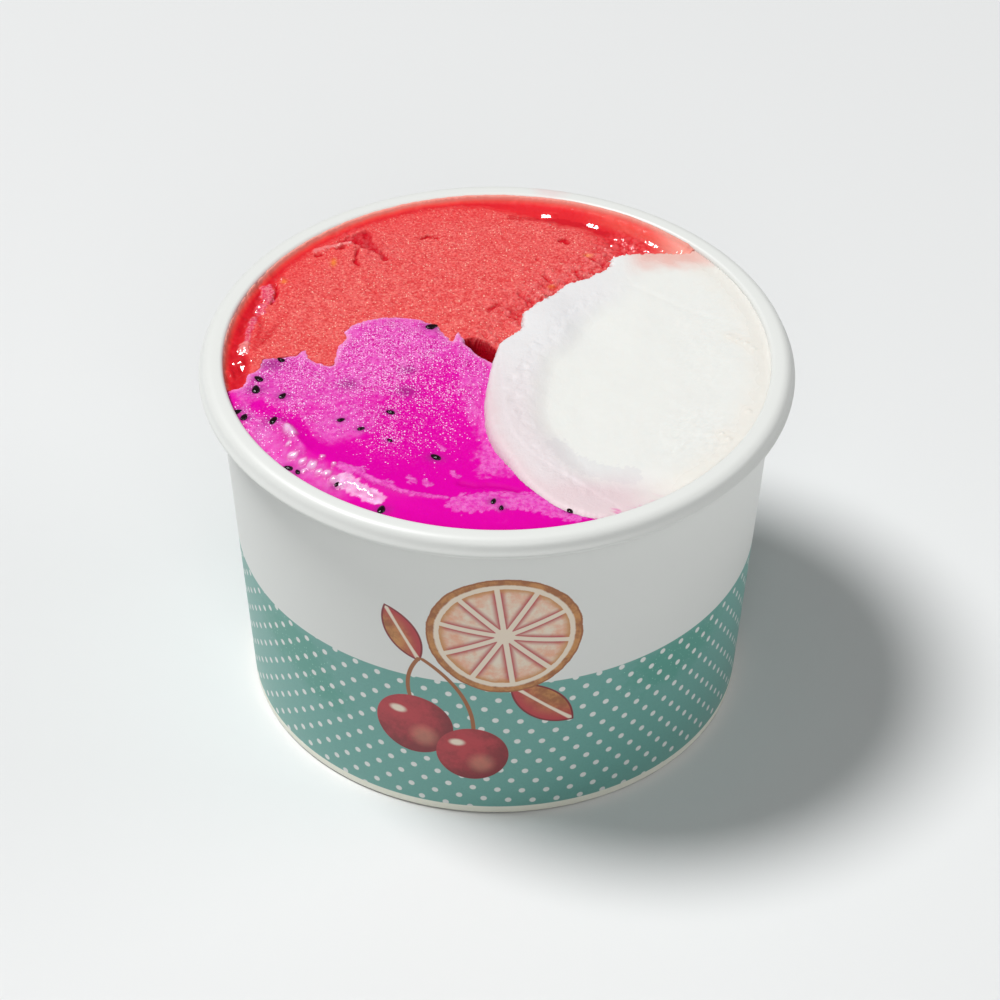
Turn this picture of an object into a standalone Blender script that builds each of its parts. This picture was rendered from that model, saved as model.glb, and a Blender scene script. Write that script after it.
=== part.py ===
"""A paper ice-cream cup filled with three flavours of gelato.

The cup is two pieces of paper: a sleeve, tapered, curled outward into a rim
and hemmed inward at the foot, and a bottom disc whose flange sits in that
hem.  The gelato is three lumps side by side, one for each flavour, each as
deep as the cup.  Units are metres, +Z is up, the origin is the middle of the
foot, and the side that faces the viewer is -Y.
"""
import math

import bmesh
import bpy
from mathutils import Vector

MM = 0.001
PI = math.pi

# Driving dimensions of the cup
RIM_RADIUS = 47.5 * MM          # outside of the curl
CUP_HEIGHT = 62.75 * MM         # foot to top of the curl
FOOT_RADIUS = 40.2 * MM         # outside of the sleeve at the foot
WALL_SLOPE = 0.0718             # widening of the sleeve for each unit of height
PAPER = 0.4 * MM                # thickness of the paper board
GAP = 0.3 * MM                  # clearance between neighbouring solids

# Curl at the rim, and hem at the foot
CURL_LEAN = 0.5 * MM            # the wall leans inward beside the curl
CURL_INNER_RADIUS = 0.5 * MM    # radii of the paper's middle line: the inner bend,
CURL_ROLL_RADIUS = 1.5 * MM     # the roll, the shallow hollow below it, the lip
CURL_HOLLOW_RADIUS = 3.3 * MM   # below the hollow, and the edge turned in
CURL_LIP_RADIUS = 0.4 * MM
CURL_END_RADIUS = 0.5 * MM
ROLL_END, LIP_START = 14.0, 33.0  # tilt of the paper where these meet, in degrees
CURL_HEIGHT = (PAPER + CURL_ROLL_RADIUS + CURL_LIP_RADIUS
               + (CURL_HOLLOW_RADIUS + CURL_LIP_RADIUS) * math.sin(math.radians(LIP_START))
               - (CURL_ROLL_RADIUS + CURL_HOLLOW_RADIUS) * math.sin(math.radians(ROLL_END)))
HEM_HEIGHT = 5.2 * MM
HEM_FOLD_RADIUS = 0.45 * MM     # the hem is pressed flat between its two folds
DISC_HEIGHT = 6.0 * MM          # middle of the bottom disc's thickness
DISC_CORNER = 0.6 * MM
ROUND_STEPS = 60                # facets around the cup

# Contents
FILL_STEP = 3.0 * MM            # cell of the gelato's surface
FILL_TOP = 61.3 * MM            # level of the gelato at the middle
DEEPEST = DISC_HEIGHT + PAPER / 2 + GAP

PAPER_COLOUR = (0.80, 0.81, 0.79)
STRAWBERRY_COLOUR = (0.78, 0.09, 0.09)
DRAGONFRUIT_COLOUR = (0.75, 0.01, 0.42)
LEMON_COLOUR = (0.86, 0.86, 0.83)


def clear_scene():
    for old in list(bpy.data.objects):
        bpy.data.objects.remove(old, do_unlink=True)


def make_collection(name):
    collection = bpy.data.collections.new(name)
    bpy.context.scene.collection.children.link(collection)
    return collection


def make_material(name, colour, roughness):
    material = bpy.data.materials.new(name)
    material.use_nodes = True
    shader = material.node_tree.nodes["Principled BSDF"]
    shader.inputs["Base Color"].default_value = (*colour, 1.0)
    shader.inputs["Roughness"].default_value = roughness
    shader.inputs["Metallic"].default_value = 0.0
    return material


def make_object(name, shape, collection, material=None):
    mesh = bpy.data.meshes.new(name)
    shape.to_mesh(mesh)
    shape.free()
    if material:
        mesh.materials.append(material)
    thing = bpy.data.objects.new(name, mesh)
    collection.objects.link(thing)
    return thing


# ---------------------------------------------------------------- the cup

def wall_radius(height):
    """Radius of the middle of the sleeve's paper at a height."""
    return FOOT_RADIUS - PAPER / 2 + WALL_SLOPE * height


def arc(centre, radius, start, end, steps):
    """Points (radius, height) of an arc, angles in degrees from +X."""
    points = []
    for step in range(steps + 1):
        angle = math.radians(start + (end - start) * step / steps)
        points.append((centre[0] + radius * math.cos(angle),
                       centre[1] + radius * math.sin(angle)))
    return points


def beyond(point, distance, angle):
    """A point a distance away at an angle in degrees."""
    turn = math.radians(angle)
    return (point[0] + distance * math.cos(turn), point[1] + distance * math.sin(turn))


def sleeve_section():
    """Middle line of the sleeve's paper, from the hem's edge to the curl's."""
    hem_width = PAPER + 2 * GAP + PAPER
    fold_height = PAPER / 2 + HEM_FOLD_RADIUS
    fold_outer = wall_radius(fold_height) - HEM_FOLD_RADIUS
    fold_inner = wall_radius(fold_height) - hem_width + HEM_FOLD_RADIUS
    line = [(wall_radius(HEM_HEIGHT) - hem_width, HEM_HEIGHT)]
    line += arc((fold_inner, fold_height), HEM_FOLD_RADIUS, 180, 270, 2)
    line += arc((fold_outer, fold_height), HEM_FOLD_RADIUS, 270, 360, 2)

    top = CUP_HEIGHT - PAPER / 2
    low = CUP_HEIGHT - CURL_HEIGHT + PAPER / 2
    inner = wall_radius(low) - CURL_LEAN
    lip = (RIM_RADIUS - PAPER / 2 - CURL_LIP_RADIUS, low + CURL_LIP_RADIUS)
    hollow = beyond(lip, CURL_LIP_RADIUS + CURL_HOLLOW_RADIUS, LIP_START)
    roll = beyond(hollow, -CURL_ROLL_RADIUS - CURL_HOLLOW_RADIUS, ROLL_END)
    line.append((wall_radius(low), low))
    line += arc((inner + CURL_INNER_RADIUS, top - CURL_INNER_RADIUS),
                CURL_INNER_RADIUS, 180, 90, 3)
    line += arc(roll, CURL_ROLL_RADIUS, 90, ROLL_END, 3)
    line += arc(hollow, CURL_HOLLOW_RADIUS, 180 + ROLL_END, 180 + LIP_START, 2)[1:]
    line += arc(lip, CURL_LIP_RADIUS, LIP_START, -90, 3)[1:]
    edge = wall_radius(low) + PAPER + GAP + CURL_END_RADIUS
    line += arc((edge, low + CURL_END_RADIUS), CURL_END_RADIUS, -90, -180, 2)
    return line


def bottom_section():
    """Middle line of the bottom disc's paper, from its flange to the axis."""
    flange = PAPER + GAP
    low = PAPER + GAP
    bend = DISC_HEIGHT - DISC_CORNER
    line = [(wall_radius(low) - flange, low)]
    line += arc((wall_radius(bend) - flange - DISC_CORNER, bend),
                DISC_CORNER, 0, 90, 2)
    line.append((0.0, DISC_HEIGHT))
    return line


def turn_paper(name, section, collection, material):
    """Turn a paper section around the cup's axis and give it its thickness."""
    shape = bmesh.new()
    points = [shape.verts.new((radius, 0.0, height)) for radius, height in section]
    for first, second in zip(points, points[1:]):
        shape.edges.new((first, second))
    paper = make_object(name, shape, collection, material)
    turn = paper.modifiers.new("Turned", "SCREW")
    turn.axis = "Z"
    turn.angle = 2 * PI
    turn.steps = ROUND_STEPS
    turn.render_steps = ROUND_STEPS
    turn.use_merge_vertices = True
    turn.merge_threshold = 0.01 * MM
    turn.use_smooth_shade = True
    board = paper.modifiers.new("Board", "SOLIDIFY")
    board.thickness = PAPER
    board.offset = 0.0
    board.use_even_offset = True
    return paper


# ----------------------------------------------------------- the contents

def smooth_outline(corners, steps=4):
    """Closed Catmull-Rom curve through a few corners given in millimetres."""
    count = len(corners)
    points = []
    for index in range(count):
        before, here, after, beyond = (
            Vector(corners[(index + shift) % count]) for shift in (-1, 0, 1, 2))
        for step in range(steps):
            t = step / steps
            points.append(MM * 0.5 * (
                2 * here + (after - before) * t
                + (2 * before - 5 * here + 4 * after - beyond) * t ** 2
                + (3 * here - before - 3 * after + beyond) * t ** 3))
    return points


def grown(outline, distance):
    """The outline moved outward, seen counter-clockwise."""
    count = len(outline)
    points = []
    for index in range(count):
        along = (outline[(index + 1) % count] - outline[index - 1]).normalized()
        points.append(outline[index] + distance * Vector((along.y, -along.x)))
    return points


def make_prism(name, outline, collection):
    """An upright cutter with the outline's shape, taller than the cup."""
    shape = bmesh.new()
    floor = [shape.verts.new((*point, -CUP_HEIGHT)) for point in outline]
    face = shape.faces.new(floor)
    walls = bmesh.ops.extrude_face_region(shape, geom=[face])
    top = [item for item in walls["geom"] if isinstance(item, bmesh.types.BMVert)]
    bmesh.ops.translate(shape, verts=top, vec=(0, 0, 3 * CUP_HEIGHT))
    bmesh.ops.recalc_face_normals(shape, faces=shape.faces)
    prism = make_object(name, shape, collection)
    prism.hide_render = True
    prism.display_type = "WIRE"
    return prism


def make_cavity(name, collection):
    """The cup's inside, a clearance smaller all round."""
    inset = PAPER / 2 + GAP
    curl_start = CUP_HEIGHT - CURL_HEIGHT
    narrow = wall_radius(curl_start) - CURL_LEAN - inset
    section = [(0.0, 2 * CUP_HEIGHT),
               (narrow, 2 * CUP_HEIGHT),
               (narrow, CUP_HEIGHT - PAPER / 2 - CURL_INNER_RADIUS),
               (wall_radius(curl_start) - inset, curl_start),
               (wall_radius(DEEPEST) - inset, DEEPEST),
               (0.0, DEEPEST)]
    shape = bmesh.new()
    points = [shape.verts.new((radius, 0.0, height)) for radius, height in section]
    for first, second in zip(points, points[1:]):
        shape.edges.new((first, second))
    bmesh.ops.spin(shape, geom=shape.verts[:] + shape.edges[:], cent=(0, 0, 0),
                   axis=(0, 0, 1), angle=2 * PI, steps=ROUND_STEPS, use_merge=True)
    bmesh.ops.remove_doubles(shape, verts=shape.verts, dist=0.01 * MM)
    bmesh.ops.recalc_face_normals(shape, faces=shape.faces)
    cavity = make_object(name, shape, collection)
    cavity.hide_render = True
    cavity.display_type = "WIRE"
    return cavity


def swell(x, y, centre, spread, height):
    """A rounded swelling of the surface; spread and centre in millimetres."""
    across = (x / MM - centre[0]) / spread[0]
    along = (y / MM - centre[1]) / spread[1]
    return height * MM * math.exp(-across ** 2 - along ** 2)


def strawberry_level(x, y):
    """Flat from the spatula, a little higher at the back of the cup."""
    return (FILL_TOP + 0.012 * y
            - swell(x, y, (-42, 0), (6, 8), 0.6))


def dragonfruit_level(x, y):
    """A mound at the back, a scooped hollow, and a ridge along the front."""
    return (FILL_TOP - 0.2 * MM
            + swell(x, y, (-15, 4), (12, 8), 1.2)
            - swell(x, y, (-5, -20), (10, 11), 1.2)
            + swell(x, y, (-28, -23), (9, 6), 0.6)
            - swell(x, y, (-12, -42), (26, 5), 0.9))


def lemon_level(x, y):
    """A flat scoop, dished in the middle, with a soft lip on the left."""
    return (FILL_TOP + 0.9 * MM - 0.02 * max(x - 16 * MM, 0.0)
            + swell(x, y, (2, -8), (6, 22), 0.5)
            - swell(x, y, (24, -4), (14, 18), 0.4)
            - swell(x, y, (16, -42), (16, 7), 0.9))


def make_filling(name, level, cutters, keeps, collection, material):
    """A block with a modelled top, cut by the cup's inside and its neighbours."""
    cells = round(2 * RIM_RADIUS / FILL_STEP)
    shape = bmesh.new()
    bmesh.ops.create_grid(shape, x_segments=cells, y_segments=cells, size=RIM_RADIUS)
    for point in shape.verts:
        point.co.z = level(point.co.x, point.co.y)
    top = shape.faces[:]
    sides = bmesh.ops.extrude_face_region(shape, geom=top, use_keep_orig=True)
    for item in sides["geom"]:
        if isinstance(item, bmesh.types.BMVert):
            item.co.z = 0.0
    bmesh.ops.dissolve_limit(shape, angle_limit=0.001,
                             verts=[v for v in shape.verts if v.co.z == 0.0],
                             edges=[e for e in shape.edges
                                    if all(v.co.z == 0.0 for v in e.verts)])
    bmesh.ops.recalc_face_normals(shape, faces=shape.faces)
    bmesh.ops.triangulate(shape, faces=shape.faces)
    filling = make_object(name, shape, collection, material)
    for index, cutter in enumerate(cutters):
        cut = filling.modifiers.new(f"Cut {index}", "BOOLEAN")
        cut.operation = "INTERSECT" if cutter in keeps else "DIFFERENCE"
        cut.solver = "EXACT"
        cut.object = cutter
    return filling


def make_contents(collection, cutters):
    """Three flavours side by side, a clearance apart; outlines in millimetres."""
    scoop = smooth_outline([
        (60, 34), (33, 29.6), (24, 29), (18.4, 25.6), (11.6, 20.1), (4.6, 12.5),
        (0.5, 3.9), (-1.6, -8), (-1.2, -18), (2, -26.4), (7.5, -35.2), (15, -38.1),
        (24, -37.5), (46, -48)])
    front = smooth_outline([
        (-60, -60), (60, -60), (30, -20), (3, -3), (-3.8, 2.2), (-8.5, 6.5),
        (-14, 10.9), (-21, 9.8), (-24.8, 5), (-26.4, -1.6), (-30.6, 1.4),
        (-37, -0.4), (-39.8, -6.3), (-52, -9)])
    cavity = make_cavity("cavity", cutters)
    scoop_cut = make_prism("scoop", scoop, cutters)
    scoop_room = make_prism("scoop_room", grown(scoop, GAP), cutters)
    front_cut = make_prism("front", front, cutters)
    front_room = make_prism("front_room", grown(front, GAP), cutters)
    make_filling("lemon_gelato", lemon_level, [cavity, scoop_cut],
                 [cavity, scoop_cut], collection,
                 make_material("Lemon gelato", LEMON_COLOUR, 0.55))
    make_filling("dragonfruit_gelato", dragonfruit_level,
                 [cavity, front_cut, scoop_room], [cavity, front_cut], collection,
                 make_material("Dragon fruit gelato", DRAGONFRUIT_COLOUR, 0.45))
    make_filling("strawberry_gelato", strawberry_level,
                 [cavity, front_room, scoop_room], [cavity], collection,
                 make_material("Strawberry gelato", STRAWBERRY_COLOUR, 0.5))


def main():
    clear_scene()
    cup = make_collection("Gelato cup")
    cutters = make_collection("Cutters")
    paper = make_material("White coated paper", PAPER_COLOUR, 0.45)
    turn_paper("cup_sleeve", sleeve_section(), cup, paper)
    turn_paper("cup_bottom", bottom_section(), cup, paper)
    make_contents(cup, cutters)


main()
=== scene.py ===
import math

import bmesh
import bpy
import numpy as np
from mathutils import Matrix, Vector, kdtree, noise


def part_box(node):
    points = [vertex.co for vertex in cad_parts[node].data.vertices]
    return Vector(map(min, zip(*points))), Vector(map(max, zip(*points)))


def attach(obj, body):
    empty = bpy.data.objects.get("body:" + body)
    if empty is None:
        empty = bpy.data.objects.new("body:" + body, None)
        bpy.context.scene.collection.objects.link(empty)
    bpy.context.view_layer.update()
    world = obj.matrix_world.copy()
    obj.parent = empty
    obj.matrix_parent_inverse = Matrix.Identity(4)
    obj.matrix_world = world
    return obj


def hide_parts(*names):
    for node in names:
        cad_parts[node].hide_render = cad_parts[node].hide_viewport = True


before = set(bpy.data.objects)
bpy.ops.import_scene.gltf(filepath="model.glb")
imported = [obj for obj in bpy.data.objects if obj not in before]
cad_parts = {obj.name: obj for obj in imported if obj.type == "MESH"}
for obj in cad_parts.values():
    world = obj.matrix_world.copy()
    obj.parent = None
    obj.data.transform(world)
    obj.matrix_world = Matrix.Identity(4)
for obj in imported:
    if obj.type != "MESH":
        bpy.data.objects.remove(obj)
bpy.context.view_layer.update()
MM = 0.001

# --- Paper sleeve --------------------------------------------------------
# One strip of white coated board, 0.4 mm thick. It is hemmed inward at the
# foot, widens upward, and is curled outward at the top into the rim. Its
# ends overlap at the back, where the outer end leaves a fine upright step.
PAPER = 0.4 * MM
sleeve_low, sleeve_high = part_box("cup_sleeve")
RIM_RADIUS = sleeve_high.x
CUP_TOP = sleeve_high.z
WALL_SLOPE = 0.0718
FOOT_MIDDLE = 40.0 * MM
HEM_WIDTH = 1.4 * MM
HEM_HEIGHT = 5.2 * MM
HEM_FOLD = 0.45 * MM
CURL_LEAN = 0.5 * MM
CURL_INNER_RADIUS = 0.5 * MM
CURL_ROLL_RADIUS = 1.5 * MM
CURL_HOLLOW_RADIUS = 3.3 * MM
CURL_LIP_RADIUS = 0.4 * MM
CURL_END_RADIUS = 0.5 * MM
ROLL_END, LIP_START = 14.0, 33.0
CURL_HEIGHT = (PAPER + CURL_ROLL_RADIUS + CURL_LIP_RADIUS
               + (CURL_HOLLOW_RADIUS + CURL_LIP_RADIUS) * math.sin(math.radians(LIP_START))
               - (CURL_ROLL_RADIUS + CURL_HOLLOW_RADIUS) * math.sin(math.radians(ROLL_END)))
SLEEVE_COLUMNS = 360
SEAM_TURN = math.radians(176)
SEAM_LAP = math.radians(11)


def wall_radius(height):
    """Radius of the middle of the sleeve's paper."""
    return FOOT_MIDDLE + WALL_SLOPE * height


def arc(centre, radius, start, end, steps):
    """Points (radius, height) on an arc, angles in degrees."""
    points = []
    for step in range(steps + 1):
        angle = math.radians(start + (end - start) * step / steps)
        points.append((centre[0] + radius * math.cos(angle),
                       centre[1] + radius * math.sin(angle)))
    return points


def beyond(point, distance, angle):
    """A point a distance away at an angle in degrees."""
    turn = math.radians(angle)
    return (point[0] + distance * math.cos(turn), point[1] + distance * math.sin(turn))


def sleeve_section():
    """Middle line of the paper: hem, wall and curl."""
    fold_height = PAPER / 2 + HEM_FOLD
    outer_fold = wall_radius(fold_height) - HEM_FOLD
    inner_fold = wall_radius(fold_height) - HEM_WIDTH + HEM_FOLD
    line = [(wall_radius(HEM_HEIGHT) - HEM_WIDTH, HEM_HEIGHT)]
    line += arc((inner_fold, fold_height), HEM_FOLD, 180, 270, 4)
    line += arc((outer_fold, fold_height), HEM_FOLD, 270, 360, 4)
    top = CUP_TOP - PAPER / 2
    low = CUP_TOP - CURL_HEIGHT + PAPER / 2
    inner = wall_radius(low) - CURL_LEAN
    lip = (RIM_RADIUS - PAPER / 2 - CURL_LIP_RADIUS, low + CURL_LIP_RADIUS)
    hollow = beyond(lip, CURL_LIP_RADIUS + CURL_HOLLOW_RADIUS, LIP_START)
    roll = beyond(hollow, -CURL_ROLL_RADIUS - CURL_HOLLOW_RADIUS, ROLL_END)
    for step in range(1, 9):
        height = fold_height + (low - fold_height) * step / 8
        line.append((wall_radius(height), height))
    line += arc((inner + CURL_INNER_RADIUS, top - CURL_INNER_RADIUS),
                CURL_INNER_RADIUS, 180, 90, 8)
    line += arc(roll, CURL_ROLL_RADIUS, 90, ROLL_END, 10)
    line += arc(hollow, CURL_HOLLOW_RADIUS, 180 + ROLL_END, 180 + LIP_START, 4)
    line += arc(lip, CURL_LIP_RADIUS, LIP_START, -90, 8)
    edge = wall_radius(low) + PAPER + 0.3 * MM + CURL_END_RADIUS
    line += arc((edge, low + CURL_END_RADIUS), CURL_END_RADIUS, -90, -200, 5)
    return line


def turned_paper(name, section, columns, material):
    """Paper turned around the cup's axis from its section, with its thickness."""
    shape = bmesh.new()
    points = [shape.verts.new((radius, 0, height)) for radius, height in section]
    for first, second in zip(points, points[1:]):
        shape.edges.new((first, second))
    bmesh.ops.spin(shape, geom=shape.verts[:] + shape.edges[:], cent=(0, 0, 0),
                   axis=(0, 0, 1), angle=math.tau, steps=columns, use_merge=True)
    bmesh.ops.remove_doubles(shape, verts=shape.verts, dist=0.005 * MM)
    bmesh.ops.recalc_face_normals(shape, faces=shape.faces)
    mesh = bpy.data.meshes.new(name)
    shape.to_mesh(mesh)
    shape.free()
    mesh.shade_smooth()
    mesh.materials.append(material)
    paper = bpy.data.objects.new(name, mesh)
    bpy.context.scene.collection.objects.link(paper)
    board = paper.modifiers.new("Board", "SOLIDIFY")
    board.thickness = PAPER
    board.offset = 0
    board.use_even_offset = True
    return paper


def new_material(name):
    """A material with its node tree, its Principled shader and its coordinates."""
    material = bpy.data.materials.new(name)
    material.use_nodes = True
    tree = material.node_tree
    shader = tree.nodes["Principled BSDF"]
    place = tree.nodes.new("ShaderNodeTexCoord")
    return material, tree, shader, place.outputs["Object"]


def feed(tree, socket, value):
    """Link a socket to an output, or set it to a number or colour."""
    if isinstance(value, bpy.types.NodeSocket):
        tree.links.new(value, socket)
    else:
        socket.default_value = value


def reckon(tree, operation, *values):
    """A Math node's output."""
    node = tree.nodes.new("ShaderNodeMath")
    node.operation = operation
    for socket, value in zip(node.inputs, values):
        feed(tree, socket, value)
    return node.outputs[0]


def times(tree, first, second):
    return reckon(tree, "MULTIPLY", first, second)


def ramp(tree, value, low, high):
    """0 up to low, 1 from high on, with an eased step between."""
    node = tree.nodes.new("ShaderNodeMapRange")
    node.interpolation_type = "SMOOTHSTEP"
    feed(tree, node.inputs["Value"], value)
    node.inputs["From Min"].default_value = low
    node.inputs["From Max"].default_value = high
    return node.outputs["Result"]


def blend_colour(tree, amount, first, second):
    """The first colour where amount is 0, the second where it is 1."""
    node = tree.nodes.new("ShaderNodeMix")
    node.data_type = "RGBA"
    feed(tree, node.inputs["Factor"], amount)
    for socket, colour in ((node.inputs["A"], first), (node.inputs["B"], second)):
        if not isinstance(colour, bpy.types.NodeSocket):
            colour = (*colour, 1)
        feed(tree, socket, colour)
    return node.outputs["Result"]


def mottle(tree, place, size, detail=2, rough=0.5):
    """Noise from 0 to 1 whose features are about size metres across."""
    node = tree.nodes.new("ShaderNodeTexNoise")
    tree.links.new(place, node.inputs["Vector"])
    node.inputs["Scale"].default_value = 1 / size
    node.inputs["Detail"].default_value = detail
    node.inputs["Roughness"].default_value = rough
    return node.outputs["Fac"]


def raise_bump(tree, shader, height, depth, strength=1.0):
    """Surface relief of a real depth, fed to the shader's normal."""
    node = tree.nodes.new("ShaderNodeBump")
    node.inputs["Distance"].default_value = depth
    node.inputs["Strength"].default_value = strength
    tree.links.new(height, node.inputs["Height"])
    tree.links.new(node.outputs["Normal"], shader.inputs["Normal"])
    return node


def crystals(tree, place, size, share, reach=0.34):
    """Sparse bright points, one in a share of the cells."""
    node = tree.nodes.new("ShaderNodeTexVoronoi")
    node.inputs["Scale"].default_value = 1 / size
    tree.links.new(place, node.inputs["Vector"])
    parts = tree.nodes.new("ShaderNodeSeparateColor")
    tree.links.new(node.outputs["Color"], parts.inputs[0])
    chosen = reckon(tree, "LESS_THAN", parts.outputs[0], share)
    return times(tree, chosen, ramp(tree, node.outputs["Distance"], reach, reach * 0.4))


def near(tree, place, centre, reach):
    """1 at a place on the piece, fading to 0 at its reach, in millimetres."""
    node = tree.nodes.new("ShaderNodeVectorMath")
    node.operation = "DISTANCE"
    tree.links.new(place, node.inputs[0])
    node.inputs[1].default_value = Vector(centre) * MM
    return ramp(tree, node.outputs["Value"], reach * MM, 0.3 * reach * MM)


# The print lies on the flat sheet that the wall is cut from, a fan whose
# point is far below the cup. U runs along the sheet, V up it, in millimetres.
BAND_LOW, BAND_HIGH = 1.7, 29.8
FOOT_LINE = 0.3
DOT_PITCH, DOT_ROWS, DOT_RADIUS = 3.97, 4.56, 0.52
DOT_TILT = math.radians(5.65)
DOT_START = (5.516, 14.423)
PAPER_WHITE = (0.785, 0.80, 0.775)
TEAL = (0.15, 0.395, 0.35)
DAMP_TEAL, DEW_GLINT = (0.085, 0.34, 0.27), (0.36, 0.66, 0.58)
# The unprinted foot's white is warmer, and brighter than the paper above as painted bounce light from the
# table.
FOOT_BOUNCE_WHITE, FOOT_CONTACT_SHADOW = (0.92, 0.91, 0.79), (0.10, 0.09, 0.08)
CRIMSON, DEEP_CRIMSON = (0.50, 0.035, 0.05), (0.22, 0.012, 0.02)
GOLDEN, BROWN = (0.60, 0.27, 0.08), (0.36, 0.12, 0.035)
PEACH, CREAM = (0.84, 0.42, 0.27), (0.86, 0.74, 0.60)


def printed_sheet(tree, place):
    """U and V in millimetres, and the height above the foot in millimetres."""
    parts = tree.nodes.new("ShaderNodeSeparateXYZ")
    tree.links.new(place, parts.inputs[0])
    x, y, z = parts.outputs
    half_cone = math.atan(WALL_SLOPE)
    foot_slant = (FOOT_MIDDLE + PAPER / 2) / math.sin(half_cone) / MM
    height = reckon(tree, "DIVIDE", z, MM)
    turn = reckon(tree, "ARCTAN2", x, times(tree, y, -1))
    fan = times(tree, turn, math.sin(half_cone))
    slant = reckon(tree, "MULTIPLY_ADD", height, 1 / math.cos(half_cone), foot_slant)
    u = times(tree, slant, reckon(tree, "SINE", fan))
    v = reckon(tree, "SUBTRACT", times(tree, slant, reckon(tree, "COSINE", fan)), foot_slant)
    return u, v, height


def inside(tree, distance, edge, blur=0.06):
    """1 where distance is under edge, 0 beyond it, with a printed edge's blur."""
    return ramp(tree, distance, edge + blur, edge - blur)


def distance_from(tree, u, v, centre, stretch=(1, 1)):
    """Distance on the sheet from a centre, in millimetres."""
    across = times(tree, reckon(tree, "SUBTRACT", u, centre[0]), 1 / stretch[0])
    along = times(tree, reckon(tree, "SUBTRACT", v, centre[1]), 1 / stretch[1])
    return reckon(tree, "SQRT", reckon(tree, "MULTIPLY_ADD", across, across,
                                       times(tree, along, along)))


def dotted(tree, u, v):
    """White dots in two interleaved rectangular grids, a little out of level."""
    cos, sin = math.cos(DOT_TILT), math.sin(DOT_TILT)
    du = reckon(tree, "SUBTRACT", u, DOT_START[0])
    dv = reckon(tree, "SUBTRACT", v, DOT_START[1])
    along = reckon(tree, "MULTIPLY_ADD", du, cos, times(tree, dv, -sin))
    up = reckon(tree, "MULTIPLY_ADD", du, sin, times(tree, dv, cos))
    nearest = None
    for shift in (0, 0.5):
        sides = []
        for line, pitch in ((along, DOT_PITCH), (up, DOT_ROWS)):
            cell = reckon(tree, "MULTIPLY_ADD", line, 1 / pitch, 0.5 + shift)
            offset = reckon(tree, "SUBTRACT", reckon(tree, "FRACT", cell), 0.5)
            sides.append(times(tree, offset, pitch))
        gap = reckon(tree, "SQRT", reckon(tree, "MULTIPLY_ADD", sides[0], sides[0],
                                          times(tree, sides[1], sides[1])))
        nearest = gap if nearest is None else reckon(tree, "MINIMUM", nearest, gap)
    return inside(tree, nearest, DOT_RADIUS, 0.09)


def paint_slice(tree, colour, u, v, brush, centre, radius, pieces):
    """A round citrus slice: peel, pith, and juicy pieces between pale lines."""
    away = distance_from(tree, u, v, centre)
    away = reckon(tree, "MULTIPLY_ADD", brush, 0.5, reckon(tree, "SUBTRACT", away, 0.25))
    angle = reckon(tree, "ARCTAN2", reckon(tree, "SUBTRACT", v, centre[1]),
                   reckon(tree, "SUBTRACT", u, centre[0]))
    sweep = reckon(tree, "FRACT", reckon(tree, "MULTIPLY_ADD", angle, pieces / math.tau, 10.3))
    side = times(tree, reckon(tree, "ABSOLUTE", reckon(tree, "SUBTRACT", sweep, 0.5)),
                 math.tau / pieces)
    to_line = times(tree, reckon(tree, "SUBTRACT", math.pi / pieces, side), away)
    flesh = times(tree, inside(tree, away, radius * 0.83), ramp(tree, to_line, 0.36, 0.5))
    flesh = times(tree, flesh, ramp(tree, away, radius * 0.12, radius * 0.14))
    ripeness = reckon(tree, "MULTIPLY_ADD", away, 1.1 / radius,
                      reckon(tree, "MULTIPLY_ADD", brush, 2.4, -1.45))
    juice = blend_colour(tree, ramp(tree, ripeness, 0, 1), CREAM, PEACH)
    juice = blend_colour(tree, inside(tree, to_line, 0.9, 0.6), juice, CRIMSON)
    juice = blend_colour(tree, ramp(tree, away, radius * 0.72, radius * 0.85), juice, GOLDEN)
    peel = blend_colour(tree, ramp(tree, brush, 0.35, 0.65), GOLDEN, BROWN)
    whole = blend_colour(tree, inside(tree, away, radius * 0.9, 0.15), peel, CREAM)
    whole = blend_colour(tree, flesh, whole, juice)
    whole = blend_colour(tree, ramp(tree, away, radius - 0.4, radius - 0.2), whole, BROWN)
    return blend_colour(tree, inside(tree, away, radius), colour, whole)


def paint_cherry(tree, colour, u, v, brush, centre, radius):
    """A round cherry, darker below right, with a pale glint above left."""
    away = distance_from(tree, u, v, centre)
    shade = distance_from(tree, u, v, (centre[0] - radius * 0.35, centre[1] + radius * 0.4))
    depth = reckon(tree, "MULTIPLY_ADD", shade, 0.75 / radius,
                   reckon(tree, "MULTIPLY_ADD", brush, 1.6, -0.95))
    skin = blend_colour(tree, ramp(tree, depth, 0, 1), CRIMSON, DEEP_CRIMSON)
    rosy = distance_from(tree, u, v, (centre[0] + radius * 0.25, centre[1] - radius * 0.35))
    skin = blend_colour(tree, times(tree, inside(tree, rosy, radius * 0.3, 1.2), 0.35), skin, PEACH)
    glint = distance_from(tree, u, v, (centre[0] - radius * 0.42, centre[1] + radius * 0.42),
                          (1.0, 0.6))
    skin = blend_colour(tree, inside(tree, glint, radius * 0.2, 0.5), skin, CREAM)
    return blend_colour(tree, inside(tree, away, radius), colour, skin)


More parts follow.
